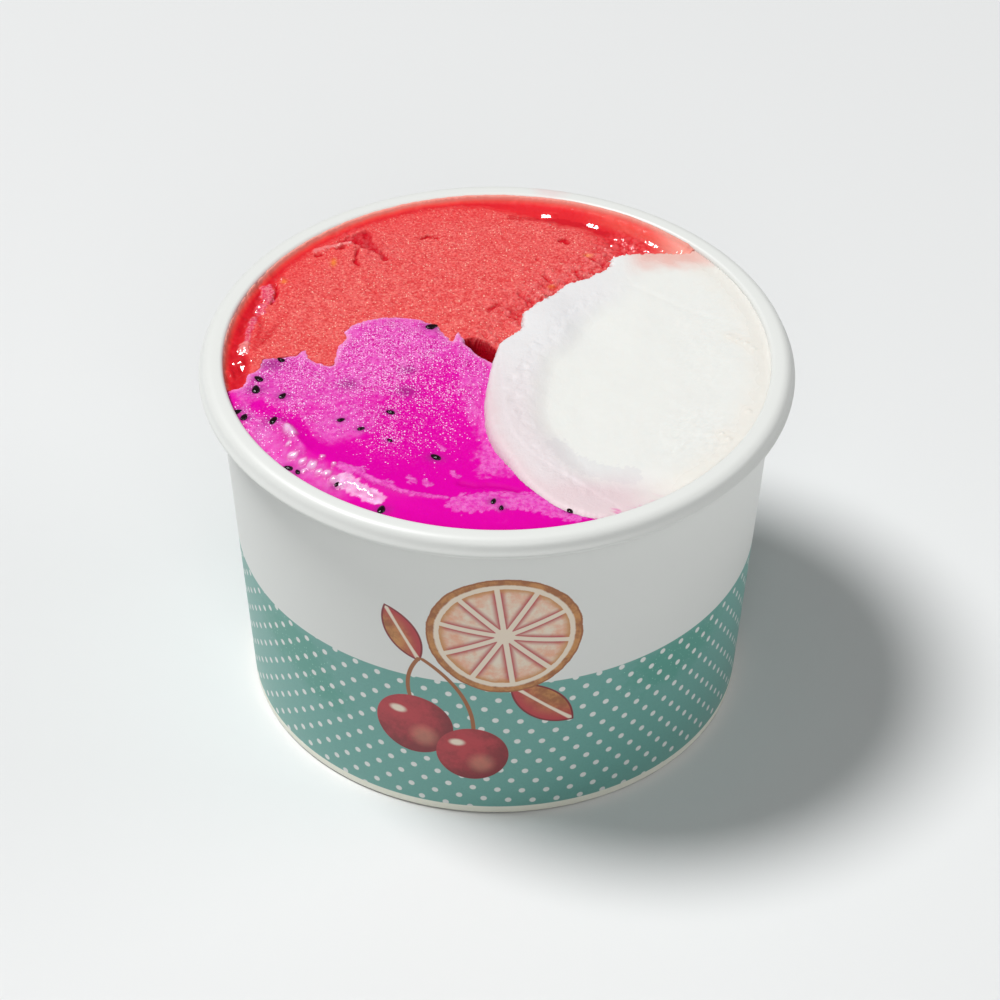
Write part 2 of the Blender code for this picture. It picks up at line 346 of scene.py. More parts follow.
def paint_stalk(tree, colour, u, v, foot, tip, bow):
    """A thin stalk from foot up to tip, bowed to the right by bow, or to the left."""
    half = math.dist(foot, tip) / 2
    radius = (half ** 2 + bow ** 2) / (2 * abs(bow))
    back = math.copysign((radius - abs(bow)) / (2 * half), bow)
    centre = ((foot[0] + tip[0]) / 2 - (tip[1] - foot[1]) * back,
              (foot[1] + tip[1]) / 2 + (tip[0] - foot[0]) * back)
    off = reckon(tree, "SUBTRACT", distance_from(tree, u, v, centre), radius)
    stroke = inside(tree, reckon(tree, "ABSOLUTE", off), 0.34)
    stroke = times(tree, stroke, inside(tree, v, tip[1]))
    stroke = times(tree, stroke, ramp(tree, v, foot[1] - 0.06, foot[1] + 0.06))
    side = 0.1 if bow > 0 else -0.1
    stroke = times(tree, stroke, ramp(tree, u, centre[0] - side, centre[0] + side))
    return blend_colour(tree, stroke, colour, BROWN)


def paint_leaf(tree, colour, u, v, brush, base, tip, width):
    """A pointed leaf between two arcs, with a pale rib and a dark outline."""
    length = math.dist(base, tip)
    radius = (length ** 2 + width ** 2) / (4 * width)
    shift = (radius - width / 2) / length
    middle = ((base[0] + tip[0]) / 2, (base[1] + tip[1]) / 2)
    across = ((base[1] - tip[1]) * shift, (tip[0] - base[0]) * shift)
    first = distance_from(tree, u, v, (middle[0] + across[0], middle[1] + across[1]))
    second = distance_from(tree, u, v, (middle[0] - across[0], middle[1] - across[1]))
    edge = reckon(tree, "MAXIMUM", first, second)
    rib = reckon(tree, "ABSOLUTE", reckon(tree, "SUBTRACT", first, second))
    blade = blend_colour(tree, ramp(tree, brush, 0.35, 0.65), GOLDEN, BROWN)
    blade = blend_colour(tree, ramp(tree, first, radius - 0.8 * width, radius), blade, CRIMSON)
    blade = blend_colour(tree, inside(tree, rib, 0.5, 0.2), blade, CREAM)
    blade = blend_colour(tree, ramp(tree, edge, radius - 0.4, radius - 0.25), blade, DEEP_CRIMSON)
    return blend_colour(tree, inside(tree, edge, radius), colour, blade)


# Dew on the cold band: centre, stretch and size of each damp spot.
DAMP_SPOTS = [((-37, 23), (1.5, 1), 5.5), ((-30, 18), (1.2, 0.8), 4), ((32, 25), (1.9, 0.9), 5)]


def stain_the_rim(tree, colour, place, height, brush):
    """A film of melted fruit inside the rim, a pink smear on it and two specks."""
    parts = tree.nodes.new("ShaderNodeSeparateXYZ")
    tree.links.new(place, parts.inputs[0])
    x, y, _ = parts.outputs
    radius = reckon(tree, "SQRT", reckon(tree, "MULTIPLY_ADD", x, x, times(tree, y, y)))
    film = ramp(tree, radius, RIM_RADIUS - 2.6 * MM, RIM_RADIUS - 3.7 * MM)
    film = times(tree, film, ramp(tree, height, 60, 61.2))
    film = times(tree, film, ramp(tree, y, -14 * MM, 4 * MM))
    film = times(tree, film, ramp(tree, x, 32 * MM, 18 * MM))
    film = times(tree, film, reckon(tree, "MULTIPLY_ADD", brush, 0.8, 0.6))
    film = times(tree, film, ramp(tree, height, 62.7, 61.3))
    colour = blend_colour(tree, film, colour, (0.86, 0.20, 0.18))
    smear = times(tree, near(tree, place, (9, 45.9, 62.7), 4.5), 0.5)
    colour = blend_colour(tree, times(tree, smear, brush), colour, (0.86, 0.42, 0.44))
    colour = blend_colour(tree, near(tree, place, (-46.9, -8.6, 61.4), 0.6), colour, (0.25, 0.13, 0.06))
    return blend_colour(tree, near(tree, place, (-44.2, 3.1, 62.3), 0.5), colour, (0.4, 0.12, 0.1))


def make_printed_paper():
    """White coated board with a teal dotted band and a small fruit design."""
    material, tree, shader, place = new_material("Printed paper")
    u, v, height = printed_sheet(tree, place)
    fibre = mottle(tree, place, 0.35 * MM, 3)
    brush = mottle(tree, place, 2.2 * MM, 4, 0.65)
    band = times(tree, inside(tree, height, BAND_HIGH, 0.08),
                 ramp(tree, height, BAND_LOW - 0.08, BAND_LOW + 0.08))
    ink = times(tree, band, reckon(tree, "SUBTRACT", 1, dotted(tree, u, v)))
    teal = blend_colour(tree, fibre, tuple(0.9 * c for c in TEAL), tuple(1.1 * c for c in TEAL))
    wander = reckon(tree, "MULTIPLY_ADD", brush, 9, -4.5)
    damp = None
    for centre, stretch, size in DAMP_SPOTS:
        away = reckon(tree, "ADD", distance_from(tree, u, v, centre, stretch), wander)
        spot = inside(tree, away, size, 2.5)
        damp = spot if damp is None else reckon(tree, "MAXIMUM", damp, spot)
    teal = blend_colour(tree, times(tree, damp, 0.8), teal, DAMP_TEAL)
    # Dew drops on the damp spots, each painted as a pale teal point that is a painted glint.
    dew_glints = crystals(tree, place, 0.5 * MM, times(tree, damp, 0.4), 0.3)
    teal = blend_colour(tree, times(tree, dew_glints, 0.8), teal, DEW_GLINT)
    colour = blend_colour(tree, ink, PAPER_WHITE, teal)
    # The foot below the band, brighter here as painted bounce light from the table.
    foot = ramp(tree, height, BAND_LOW + 0.08, BAND_LOW - 0.08)
    colour = blend_colour(tree, foot, colour, FOOT_BOUNCE_WHITE)
    # Painted contact shadow: the lowest 0.3 mm of the hem's fold is darkened where it meets the table.
    colour = blend_colour(tree, ramp(tree, height, FOOT_LINE, 0), colour, FOOT_CONTACT_SHADOW)
    colour = stain_the_rim(tree, colour, place, height, brush)
    colour = paint_leaf(tree, colour, u, v, brush, (2.5, 30), (12.8, 20.4), 6.4)
    colour = paint_leaf(tree, colour, u, v, brush, (-11.8, 33.4), (-17.6, 44.2), 5.6)
    colour = paint_stalk(tree, colour, u, v, (-13.2, 24.3), (-11.8, 34.2), -1.2)
    colour = paint_stalk(tree, colour, u, v, (-3.2, 18.8), (-11.8, 34.2), 2.4)
    colour = paint_cherry(tree, colour, u, v, brush, (-12.8, 18.9), 6.4)
    colour = paint_cherry(tree, colour, u, v, brush, (-3.4, 13.9), 5.8)
    colour = paint_slice(tree, colour, u, v, brush, (1.6, 40.6), 12.4, 10)
    tree.links.new(colour, shader.inputs["Base Color"])
    shader.inputs["Roughness"].default_value = 0.4
    shader.inputs["Specular IOR Level"].default_value = 0.55
    raise_bump(tree, shader, fibre, 0.006 * MM)
    return material


def lap_the_ends(sleeve):
    """Sink the wall's inner end under the outer one along the upright seam."""
    mesh = sleeve.data
    column = math.tau / SLEEVE_COLUMNS
    for point in mesh.vertices:
        turn = math.atan2(point.co.x, -point.co.y) % math.tau
        past = (turn - SEAM_TURN) % math.tau
        if past > SEAM_LAP:
            continue
        if past < 1.5 * column:
            past = 0.1 * column
        rise = min(1.0, max(0.0, point.co.z / (2 * MM)))
        fade = min(1.0, max(0.0, (CUP_TOP - CURL_HEIGHT - point.co.z) / (3 * MM)))
        sink = 0.8 * PAPER * rise * fade * (1 - past / SEAM_LAP) ** 2
        radius = math.hypot(point.co.x, point.co.y) - sink
        if past == 0.1 * column and fade > 0:
            turn = SEAM_TURN + past
        point.co.x = radius * math.sin(turn)
        point.co.y = -radius * math.cos(turn)


printed_paper = make_printed_paper()
sleeve = turned_paper("paper_sleeve", sleeve_section(), SLEEVE_COLUMNS, printed_paper)
lap_the_ends(sleeve)
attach(sleeve, "root")
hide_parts("cup_sleeve")

# --- Bottom disc ---------------------------------------------------------
# A disc of the same board, unprinted. Its flange is turned down and glued
# into the sleeve's hem, so the disc stays clear of the table.
DISC_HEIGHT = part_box("cup_bottom")[1].z - PAPER / 2
DISC_CORNER = 0.6 * MM
FLANGE_INSET = 0.7 * MM


def disc_section():
    """Middle line of the disc's paper, from its flange to the axis."""
    bend = DISC_HEIGHT - DISC_CORNER
    line = [(wall_radius(FLANGE_INSET) - FLANGE_INSET, FLANGE_INSET)]
    line += arc((wall_radius(bend) - FLANGE_INSET - DISC_CORNER, bend), DISC_CORNER, 0, 90, 6)
    for share in (0.75, 0.5, 0.25, 0):
        line.append((share * wall_radius(bend), DISC_HEIGHT))
    return line


def make_plain_paper():
    """White coated board with faint fibres."""
    material, tree, shader, place = new_material("Plain paper")
    fibre = mottle(tree, place, 0.4 * MM, 3)
    tree.links.new(blend_colour(tree, fibre, (0.78, 0.78, 0.755), (0.83, 0.83, 0.81)),
                   shader.inputs["Base Color"])
    shader.inputs["Roughness"].default_value = 0.5
    raise_bump(tree, shader, fibre, 0.008 * MM)
    return material


disc = turned_paper("paper_disc", disc_section(), 180, make_plain_paper())
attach(disc, "root")
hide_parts("cup_bottom")

# --- Lemon gelato --------------------------------------------------------
# A flat white scoop pressed against the cup's right side with a spatula,
# which left a soft lip along the side that faces the other two. It is laid
# first, because the other flavours meet its outline. Places are plan
# millimetres from the cup's axis.
SURFACE_CELL = 0.2
SKIRT_STEP, SKIRT_ROWS = 0.35, 14
FILL_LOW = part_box("lemon_gelato")[0].z
LEMON_CORNERS = [
    (60, 40), (33, 29.8), (28, 29), (24.4, 28.9), (21.7, 28.4), (19.8, 27.9), (18.6, 27.2),
    (18.3, 25.3), (16.6, 23.2), (14.7, 21.6), (11.6, 20.1), (9.2, 17.5), (7.1, 15.4),
    (4.9, 12.9), (4, 11), (3.9, 8), (2.3, 6), (0.5, 3.9), (-0.4, 0.6), (-1, -2.7), (-1.6, -7),
    (-1.9, -11), (-1.7, -16), (-0.9, -20), (0.3, -23.2), (1.9, -26.4), (3.5, -29.8),
    (5.4, -32.7), (7.5, -35.2), (9.6, -37), (12.2, -38.4), (15, -39.4), (18, -39.6),
    (23, -39.2), (40, -50)]


def smooth_outline(corners, spacing=0.2):
    """Closed Catmull-Rom curve through a few corners, as an array of points."""
    corners = np.array(corners, float)
    points = []
    for index in range(len(corners)):
        before, here, after, beyond = (corners[(index + shift) % len(corners)]
                                       for shift in (-1, 0, 1, 2))
        steps = max(2, int(np.hypot(*(after - here)) / spacing))
        t = np.arange(steps)[:, None] / steps
        points.append(0.5 * (2 * here + (after - before) * t
                             + (2 * before - 5 * here + 4 * after - beyond) * t ** 2
                             + (3 * here - before - 3 * after + beyond) * t ** 3))
    return np.concatenate(points)


def fractal(places, size, seed, octaves=3):
    """Soft noise of about -1 to 1 at places given in millimetres."""
    return np.array([noise.fractal(Vector((x / size, y / size, seed)), 1.0, 2.0, octaves)
                     for x, y in places])


def ragged(outline, amount, size, seed):
    """The outline with small bites and crumbs along it."""
    along = np.roll(outline, -1, axis=0) - np.roll(outline, 1, axis=0)
    along /= np.hypot(*along.T)[:, None]
    push = amount * fractal(outline, size, seed, 4)
    return outline + push[:, None] * np.column_stack([along[:, 1], -along[:, 0]])


def search_tree(outline):
    """The outline's points, the way inward at each, and a tree to find the nearest."""
    tree = kdtree.KDTree(len(outline))
    for index, (x, y) in enumerate(outline):
        tree.insert((x, y, 0), index)
    tree.balance()
    along = np.roll(outline, -1, axis=0) - np.roll(outline, 1, axis=0)
    along /= np.hypot(*along.T)[:, None]
    return tree, outline, np.column_stack([-along[:, 1], along[:, 0]])


def depth_inside(edge, places):
    """Distance of each place to an outline's edge, positive inside it."""
    tree, outline, inward = edge
    nearest = np.array([tree.find((x, y, 0))[1] for x, y in places])
    offset = places - outline[nearest]
    across = (offset * inward[nearest]).sum(axis=1)
    away = np.hypot(*offset.T)
    return np.where(away < SURFACE_CELL, across, np.sign(across) * away)


def path_place(path, places):
    """Distance to a path, which side of it, and how far along it from 0 to 1."""
    path = np.array(path, float)
    starts, spans = path[:-1], np.diff(path, axis=0)
    part = places[:, None, :] - starts
    share = ((part * spans).sum(axis=2) / (spans ** 2).sum(axis=1)).clip(0, 1)
    gap = part - share[..., None] * spans
    distance = np.sqrt((gap ** 2).sum(axis=2))
    nearest = distance.argmin(axis=1)
    rows = np.arange(len(places))
    side = np.sign((spans[:, 0] * part[..., 1] - spans[:, 1] * part[..., 0])[rows, nearest])
    along = (nearest + share[rows, nearest]) / len(spans)
    return distance[rows, nearest], side, along


def line_mark(path, places, width):
    """1 on a path, fading to 0 beside it."""
    return np.exp(-(path_place(path, places)[0] / width) ** 2)


def ease(value):
    """Smooth step from 0 to 1."""
    value = np.clip(value, 0, 1)
    return value * value * (3 - 2 * value)


def stroke(path, places, width, fray=0.0):
    """1 within half a width of a path, with a crisp and ragged edge."""
    ragged_width = width / 2 * (1 + fray * fractal(places, 0.8, 71.0, 2))
    return ease((ragged_width - path_place(path, places)[0]) / 0.25 + 0.5)


def swelling(x, y, centre, spread, height, turn=0):
    """A rounded rise, or a hollow where the height is negative."""
    angle = math.radians(turn)
    dx, dy = x - centre[0], y - centre[1]
    across = (dx * math.cos(angle) + dy * math.sin(angle)) / spread[0]
    along = (dy * math.cos(angle) - dx * math.sin(angle)) / spread[1]
    return height * np.exp(-across ** 2 - along ** 2)


def inner_radius(height):
    """Radius of the cup's inside at a height, in millimetres."""
    curl_start = (CUP_TOP - CURL_HEIGHT) / MM
    lean = ease((height - curl_start) / 2.9) * CURL_LEAN / MM
    return (wall_radius(np.minimum(height, curl_start) * MM) - PAPER / 2) / MM + 0.04 - lean


BRIM = inner_radius(61.5)
lemon_line = smooth_outline(LEMON_CORNERS)
lemon_edge = search_tree(ragged(
    lemon_line, 0.12 + 0.42 * ease((lemon_line[:, 1] - 4) / 6), 0.5, 3.0))


def rounded_edge(depth, radius):
    """How far a rounded edge falls below the surface at a depth inside it."""
    left = np.clip(radius - depth, 0, radius)
    return radius - np.sqrt(radius ** 2 - left ** 2)


def gelato_body(name, room, low, high, level, material, paint):
    """One flavour: a fine modelled surface, its sides, and a core to the bottom.

    room gives the depth of a place inside the flavour, level the height of
    its surface, and paint the values of its colour attributes.
    """
    shape = bmesh.new()
    size = np.array(high, float) - np.array(low, float)
    cells = np.ceil(size / SURFACE_CELL).astype(int)
    bmesh.ops.create_grid(shape, x_segments=int(cells[0]), y_segments=int(cells[1]), size=0.5)
    bmesh.ops.scale(shape, vec=(*size, 1), verts=shape.verts)
    bmesh.ops.translate(shape, vec=(*(np.array(low) + size / 2), 0), verts=shape.verts)
    centres = np.array([face.calc_center_median()[:2] for face in shape.faces])
    outside = room(centres) <= 0
    bmesh.ops.delete(shape, context="FACES",
                     geom=[face for face, out in zip(shape.faces, outside) if out])
    border = [point for point in shape.verts if point.is_boundary]
    spots = np.array([point.co[:2] for point in border])
    nudge = 0.02
    for _ in range(3):
        depth = room(spots)
        slope = np.column_stack([room(spots + (nudge, 0)) - depth,
                                 room(spots + (0, nudge)) - depth]) / nudge
        steep = np.maximum((slope ** 2).sum(axis=1), 0.25)
        spots -= np.clip(depth / steep, -0.2, 0.2)[:, None] * slope
    for point, spot in zip(border, spots):
        point.co.xy = spot
    hem = [edge for edge in shape.edges if edge.is_boundary]
    for row in range(SKIRT_ROWS + 1):
        drop = SKIRT_STEP if row < SKIRT_ROWS else 100.0
        made = bmesh.ops.extrude_edge_only(shape, edges=hem)["geom"]
        hem = [item for item in made if isinstance(item, bmesh.types.BMEdge)]
        lower = [item for item in made if isinstance(item, bmesh.types.BMVert)]
        bmesh.ops.translate(shape, vec=(0, 0, -drop), verts=lower)
    bmesh.ops.holes_fill(shape, edges=hem, sides=0)
    bmesh.ops.recalc_face_normals(shape, faces=shape.faces)
    mesh = bpy.data.meshes.new(name)
    shape.to_mesh(mesh)
    shape.free()

    place = np.empty(3 * len(mesh.vertices))
    mesh.vertices.foreach_get("co", place)
    place = place.reshape(-1, 3)
    flat = place[:, :2].copy()
    height = np.minimum(level(flat), CUP_TOP / MM - 0.02) + place[:, 2]
    height = np.maximum(height, FILL_LOW / MM)
    wobble = ease(-place[:, 2] / 0.6) * ease((BRIM - np.hypot(*flat.T)) / 2)
    side = np.array([noise.noise_vector(Vector((x / 1.3, y / 1.3, z / 1.3)))
                     for (x, y), z in zip(flat, height)])
    moved = flat + 0.3 * wobble[:, None] * side[:, :2]
    moved *= (inner_radius(height) / BRIM)[:, None]
    solid = np.column_stack([moved, height]) * MM
    mesh.vertices.foreach_set("co", solid.ravel())
    for label, values in paint(flat, place[:, 2]).items():
        mesh.attributes.new(label, "FLOAT", "POINT").data.foreach_set(
            "value", np.clip(values, 0, 1).astype(np.float32))
    mesh.shade_smooth()
    mesh.materials.append(material)
    body = bpy.data.objects.new(name, mesh)
    bpy.context.scene.collection.objects.link(body)
    return body


LIP_CREASE = [(0.6, -3), (1.3, -15), (2.6, -20), (4.9, -23.9), (7.4, -26.8), (10.6, -29.4),
              (14, -32.5), (17.5, -35.5)]
DISH_SHADE = [(9.3, -22.3), (11.5, -25.5), (14.3, -27.8), (17.5, -29), (20.9, -29.5)]
SPATULA_LINE = [(22, 19.4), (29.9, 13.6), (36, 10.2), (39.5, 8.4)]
LEMON_DROPS = [(37.2, 6.3, 0.5), (38.6, 5.3, 0.35), (39.9, 4.4, 0.4), (41, 3.2, 0.45),
               (39.6, -13.2, 0.45), (36.2, -20.2, 0.4), (35.2, -19, 0.25)]
LEMON_PITS = [(2.4, -6.2, 0.9, 0.25), (2.9, -11.2, 1.1, 0.3), (3.4, -8.4, 0.7, 0.18),
              (1.4, -9.2, 0.6, 0.15), (4.2, -3.6, 0.8, 0.2)]


def lemon_room(places):
    return np.minimum(depth_inside(lemon_edge, places), BRIM - np.hypot(*places.T))


def lemon_level(places):
    """Flat and dished, with a soft lip of two thin layers along the left."""
    x, y = places.T
    depth = depth_inside(lemon_edge, places)
    wall = BRIM - np.hypot(x, y)
    facing = ease((24 - x) / 12)
    front = ease((-y - 20) / 16)
    level = 62.1 - 0.012 * np.maximum(x - 16, 0) - 0.7 * front * ease((12 - depth) / 6)
    level += 0.3 * facing * np.exp(-((depth - 4) / 3.2) ** 2)
    level -= 0.55 * facing * ease((depth - 6.5) / 3.6)
    level += swelling(x, y, (24, -2), (15, 22), -0.25)
    layer = path_place(LIP_CREASE, places)
    level += 0.16 * ease(0.5 + layer[0] * layer[1] / 0.8) * facing * ease((6 - y) / 8)
    level -= rounded_edge(depth, 0.7 + 0.8 * facing * ease((2 - y) / 14))
    level += 0.08 * fractal(places, 6.5, 1.1, 2)
    crumbly = ease((depth - 3.6) / 1.2) * ease((8.5 - depth) / 3) * facing
    combed = swelling(x, y, (31, -19), (6.5, 7), 1.0, -20)
    level += (0.025 + 0.11 * crumbly) * fractal(places, 1.4, 7.7, 4)
    rows = np.column_stack([(x + y) * 0.6, (y - x) * 1.6])
    level += 0.17 * combed * fractal(rows, 1.8, 3.3, 3)
    level += 0.07 * swelling(x, y, (33, 4), (7, 14), 1.0) * fractal(rows, 1.5, 8.3, 3)
    for dx, dy, size, dip in LEMON_PITS:
        level -= swelling(x, y, (dx, dy), (size, size), dip)
    level -= 0.06 * line_mark(SPATULA_LINE, places, 0.55)
    for dx, dy, size in LEMON_DROPS:
        level += swelling(x, y, (dx, dy), (size, size), 0.22)
    level -= 0.3 * ease((3.2 - wall) / 3)
    level += 0.4 * np.exp(-wall / 0.7)
    return level


def lemon_paint(places, drop):
    x, y = places.T
    depth = depth_inside(lemon_edge, places)
    wall = BRIM - np.hypot(x, y)
    edge = 0.5 + 0.5 * fractal(places, 2.5, 5.0)
    side = ease((3.5 - depth) / 3.5)
    drops = sum(swelling(x, y, (dx, dy), (1.2, 1.2), 1.0) for dx, dy, size in LEMON_DROPS)
    low = ease((6 - y) / 22)
    streaks = fractal(np.column_stack([x * 0.5, (y + 0.25 * x) * 1.9]), 1.6, 15.0, 3)
    return {
        "melt": ease((5.5 - wall + 2 * edge) / 6) * ease((y + 40) / 10) + drops,
        # Painted shade at the dish's edge, above it, and in the lip's crease.
        "shade": 0.8 * swelling(x, y, (11, 12), (3, 7), 1, 12) + stroke(DISH_SHADE, places, 3.5, 0.5)
                 + 0.5 * line_mark(LIP_CREASE, places, 0.8),
        "frost": ease((26 - x) / 12) * ease((10 - depth + edge) / 5),
        "stain": (0.25 + 0.75 * edge) * low * side + 0.5 * low * ease((12 - depth) / 8) * ease((30 - x) / 14)
                 + ease(-drop / 2) + swelling(x, y, (15, -35), (9, 4), 0.8),
        "streak": ease(1.6 * streaks + 0.9 - 0.55 * wall) * swelling(x, y, (18, -38.5), (6.5, 4), 1.2),
        "blush": ease((5.5 - depth + 2 * edge) / 5.5) * ease((x - 20) / 5) * ease((y - 19) / 6),
    }


def attribute(tree, name):
    node = tree.nodes.new("ShaderNodeAttribute")
    node.attribute_name = name
    return node.outputs["Fac"]


def beads(places, rows):
    """Wet beads: place of each one's glint, its length, width and turn.

    A bead is steep enough for its side to face the lamp, so its glint lies
    there and its middle is set back from the glint.
    """
    x, y = places.T
    rise = np.zeros(len(places))
    for gx, gy, length, width, turn in rows:
        angle = math.radians(turn)
        dx, dy = x - gx - 0.35 * width, y - gy - 0.6 * width
        along = (dx * math.cos(angle) + dy * math.sin(angle)) / length
        across = (dy * math.cos(angle) - dx * math.sin(angle)) / width
        rise += 0.72 * width * np.exp(-across ** 2 - along ** 4)
    return rise


GLINT_SLOPE = (0.26, 0.45)


def facets(places, rows):
    """Ripples that lean towards the lamp: place, length, width and turn of each."""
    x, y = places.T
    rise = np.zeros(len(places))
    for gx, gy, length, width, turn in rows:
        angle = math.radians(turn)
        dx, dy = x - gx, y - gy
        along = (dx * math.cos(angle) + dy * math.sin(angle)) / length
        across = (dy * math.cos(angle) - dx * math.sin(angle)) / width
        lean = GLINT_SLOPE[0] * dx + GLINT_SLOPE[1] * dy
        rise += lean * np.exp(-across ** 4 - along ** 4)
    return rise


def glossy_where(tree, shader, wet, gloss=1.6):
    """A clear wet coat over part of the surface."""
    tree.links.new(wet, shader.inputs["Coat Weight"])
    shader.inputs["Coat Roughness"].default_value = 0.12
    shader.inputs["Coat IOR"].default_value = gloss


def translucent(shader, weight, radius, scale):
    """Light scattering a little below the surface."""
    shader.inputs["Subsurface Weight"].default_value = weight
    shader.inputs["Subsurface Radius"].default_value = radius
    shader.inputs["Subsurface Scale"].default_value = scale


def make_lemon():
    """White, bluish where frosty, creamier where it has melted."""
    material, tree, shader, place = new_material("Lemon gelato")
    melt, shade, frost, stain, streak, blush = (attribute(tree, name) for name in (
        "melt", "shade", "frost", "stain", "streak", "blush"))
    cloud = mottle(tree, place, 3 * MM, 3)
    grain = mottle(tree, place, 0.45 * MM, 3, 0.6)
    white = blend_colour(tree, cloud, (0.80, 0.805, 0.775), (0.83, 0.835, 0.80))
    white = blend_colour(tree, frost, white, (0.80, 0.79, 0.795))
    # Painted shade at the dish's edge and in the lip's crease.
    white = blend_colour(tree, times(tree, shade, 0.5), white, (0.70, 0.695, 0.71))
    white = blend_colour(tree, times(tree, melt, 0.8), white, (0.85, 0.82, 0.76))
    white = blend_colour(tree, times(tree, stain, 0.8), white, (0.75, 0.58, 0.61))
    white = blend_colour(tree, times(tree, streak, 0.8), white, (0.78, 0.10, 0.42))
    white = blend_colour(tree, times(tree, blush, 0.7), white, (0.85, 0.40, 0.34))
    tree.links.new(white, shader.inputs["Base Color"])
    gloss = reckon(tree, "MAXIMUM", melt, blush)
    tree.links.new(reckon(tree, "MULTIPLY_ADD", gloss, -0.32, 0.52), shader.inputs["Roughness"])
    translucent(shader, 0.35, (1.0, 0.9, 0.85), 1.2 * MM)
    relief = times(tree, grain, reckon(tree, "MULTIPLY_ADD", frost, 0.7, 0.25))
    raise_bump(tree, shader, relief, 0.1 * MM, 0.8)
    return material


lemon = gelato_body("lemon_gelato_body", lemon_room, (-4, -44.5), (44.5, 32),
                    lemon_level, make_lemon(), lemon_paint)
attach(lemon, "root")
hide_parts("lemon_gelato")

# --- Dragon fruit gelato -------------------------------------------------
# A magenta lump spread over the front left. The back is a frosty mound that
# overlaps the red, the middle a smooth moist hollow, and the spatula left a
# wet ridge beside the front wall.
DRAGON_CORNERS = [
    (-60, -60), (60, -60), (60, -20), (20, -10), (3, -3), (-1, -0.1), (-2.3, 0.8),
    (-3.8, 2.5), (-5.1, 4.1), (-5.4, 5.4), (-6.2, 7.3), (-6.8, 6.6), (-7.1, 4.6), (-7.7, 5.4),
    (-8.5, 6.8), (-9.6, 8.5), (-11.4, 9.6), (-13, 10.6), (-15.5, 11.2), (-19.2, 10.8),
    (-22.6, 9.3), (-24.4, 7.6), (-24.7, 6.3), (-24.3, 5.2), (-25.2, 3.4), (-25.7, 2.3),
    (-25.9, 0), (-26.6, -1.6), (-28.7, -0.8), (-29.8, 0), (-30.3, 2), (-31.3, 2), (-32.3, 1),
    (-35.8, 0.1), (-37.5, -0.3), (-38.1, -3.1), (-39.4, -4.1), (-39.8, -6), (-40.7, -7.5),
    (-43, -8.1), (-50, -9)]
RIDGE = [(-35.2, -14.6), (-33.2, -18), (-31, -21.6), (-27.6, -25), (-23.6, -27.7),
         (-19.4, -29.7), (-14.5, -32), (-10, -33.6), (-6.4, -34.8)]
CREST = [(-33.8, -16.6), (-32, -19.6), (-29.8, -23.3)]
THIN_SMEAR = [(-23.5, -27.4), (-18.7, -30.8), (-14.3, -33), (-12, -33.6), (-7.5, -34.4)]
FRONT_PATCH = [(-5.2, -35.8), (-1.5, -35.4), (3, -34.8), (8, -36), (12, -37.6)]
TONGUE = [(-37.2, -12.4), (-33.4, -15.4), (-31, -18), (-29.5, -22), (-28, -23.8)]
BESIDE_WHITE = [(-7.2, 3), (-6.5, 0), (-6.5, -4), (-6, -8), (-5.3, -12), (-3.8, -16),
                (-2.6, -20), (-3, -22), (-3.1, -24), (-2.8, -28), (-2.6, -32)]
CREASE = [(-5.4, -30.2), (-3, -31.2), (-1.2, -30.9), (0.8, -31.4), (3.2, -32.4)]
# Route of the wet blob at the ridge's lower end; it is painted pale, partly slush and partly a painted
# highlight.
BLOB = [(-23.5, -30), (-21.6, -31.3), (-19.6, -32.9), (-17.9, -33.9)]
# Glints on wet beads: place, length, width and turn of each.
GLINTS = [(-32.5, -19.7, 1.6, 0.7, -58), (-31.6, -24.4, 0.8, 0.6, -10),
          (-30, -25.8, 0.6, 0.55, 0), (-28.6, -26.9, 0.75, 0.65, -20), (-27.4, -28.2, 0.6, 0.5, 0),
          (-26.2, -28.9, 0.65, 0.6, -30), (-25, -30, 0.7, 0.6, -30), (-24, -31, 0.55, 0.5, 0),
          (-27, -25.6, 0.45, 0.4, 0), (-25.2, -27.4, 0.4, 0.4, 0), (-29.7, -27.4, 0.45, 0.4, 0),
          (-32.4, -22, 0.45, 0.4, 0), (-20.4, -37.4, 0.5, 0.45, 0), (-35.3, -22.8, 0.4, 0.35, 0),
          (-22.6, -31, 0.9, 0.5, -34), (-21, -32.3, 1.1, 0.55, -34), (-19.2, -33.5, 1.0, 0.5, -34),
          (-21.4, -31.3, 0.7, 0.4, -34), (-19.8, -32.5, 0.7, 0.4, -34)]
# Small pale crumbs: route and width of each.
CRUMBS = [([(-13.2, -29.5), (-12.8, -30.2)], 1.5), ([(-10.7, -30.2), (-10.3, -30.7)], 1.3),
          ([(-23.6, -27.4), (-22.4, -28.4), (-20.8, -28.2)], 1.7), ([(-17, -31), (-16.2, -31)], 1.0),
          ([(-6.5, -27.5), (-5.8, -28.5)], 1.0), ([(-8.6, -20.5), (-8, -21.4)], 0.9)]
dragon_edge = search_tree(ragged(smooth_outline(DRAGON_CORNERS), 0.22, 0.8, 9.0))


def dragon_room(places):
    depth = np.minimum(depth_inside(dragon_edge, places),
                       0.3 - depth_inside(lemon_edge, places))
    return np.minimum(depth, BRIM - np.hypot(*places.T))


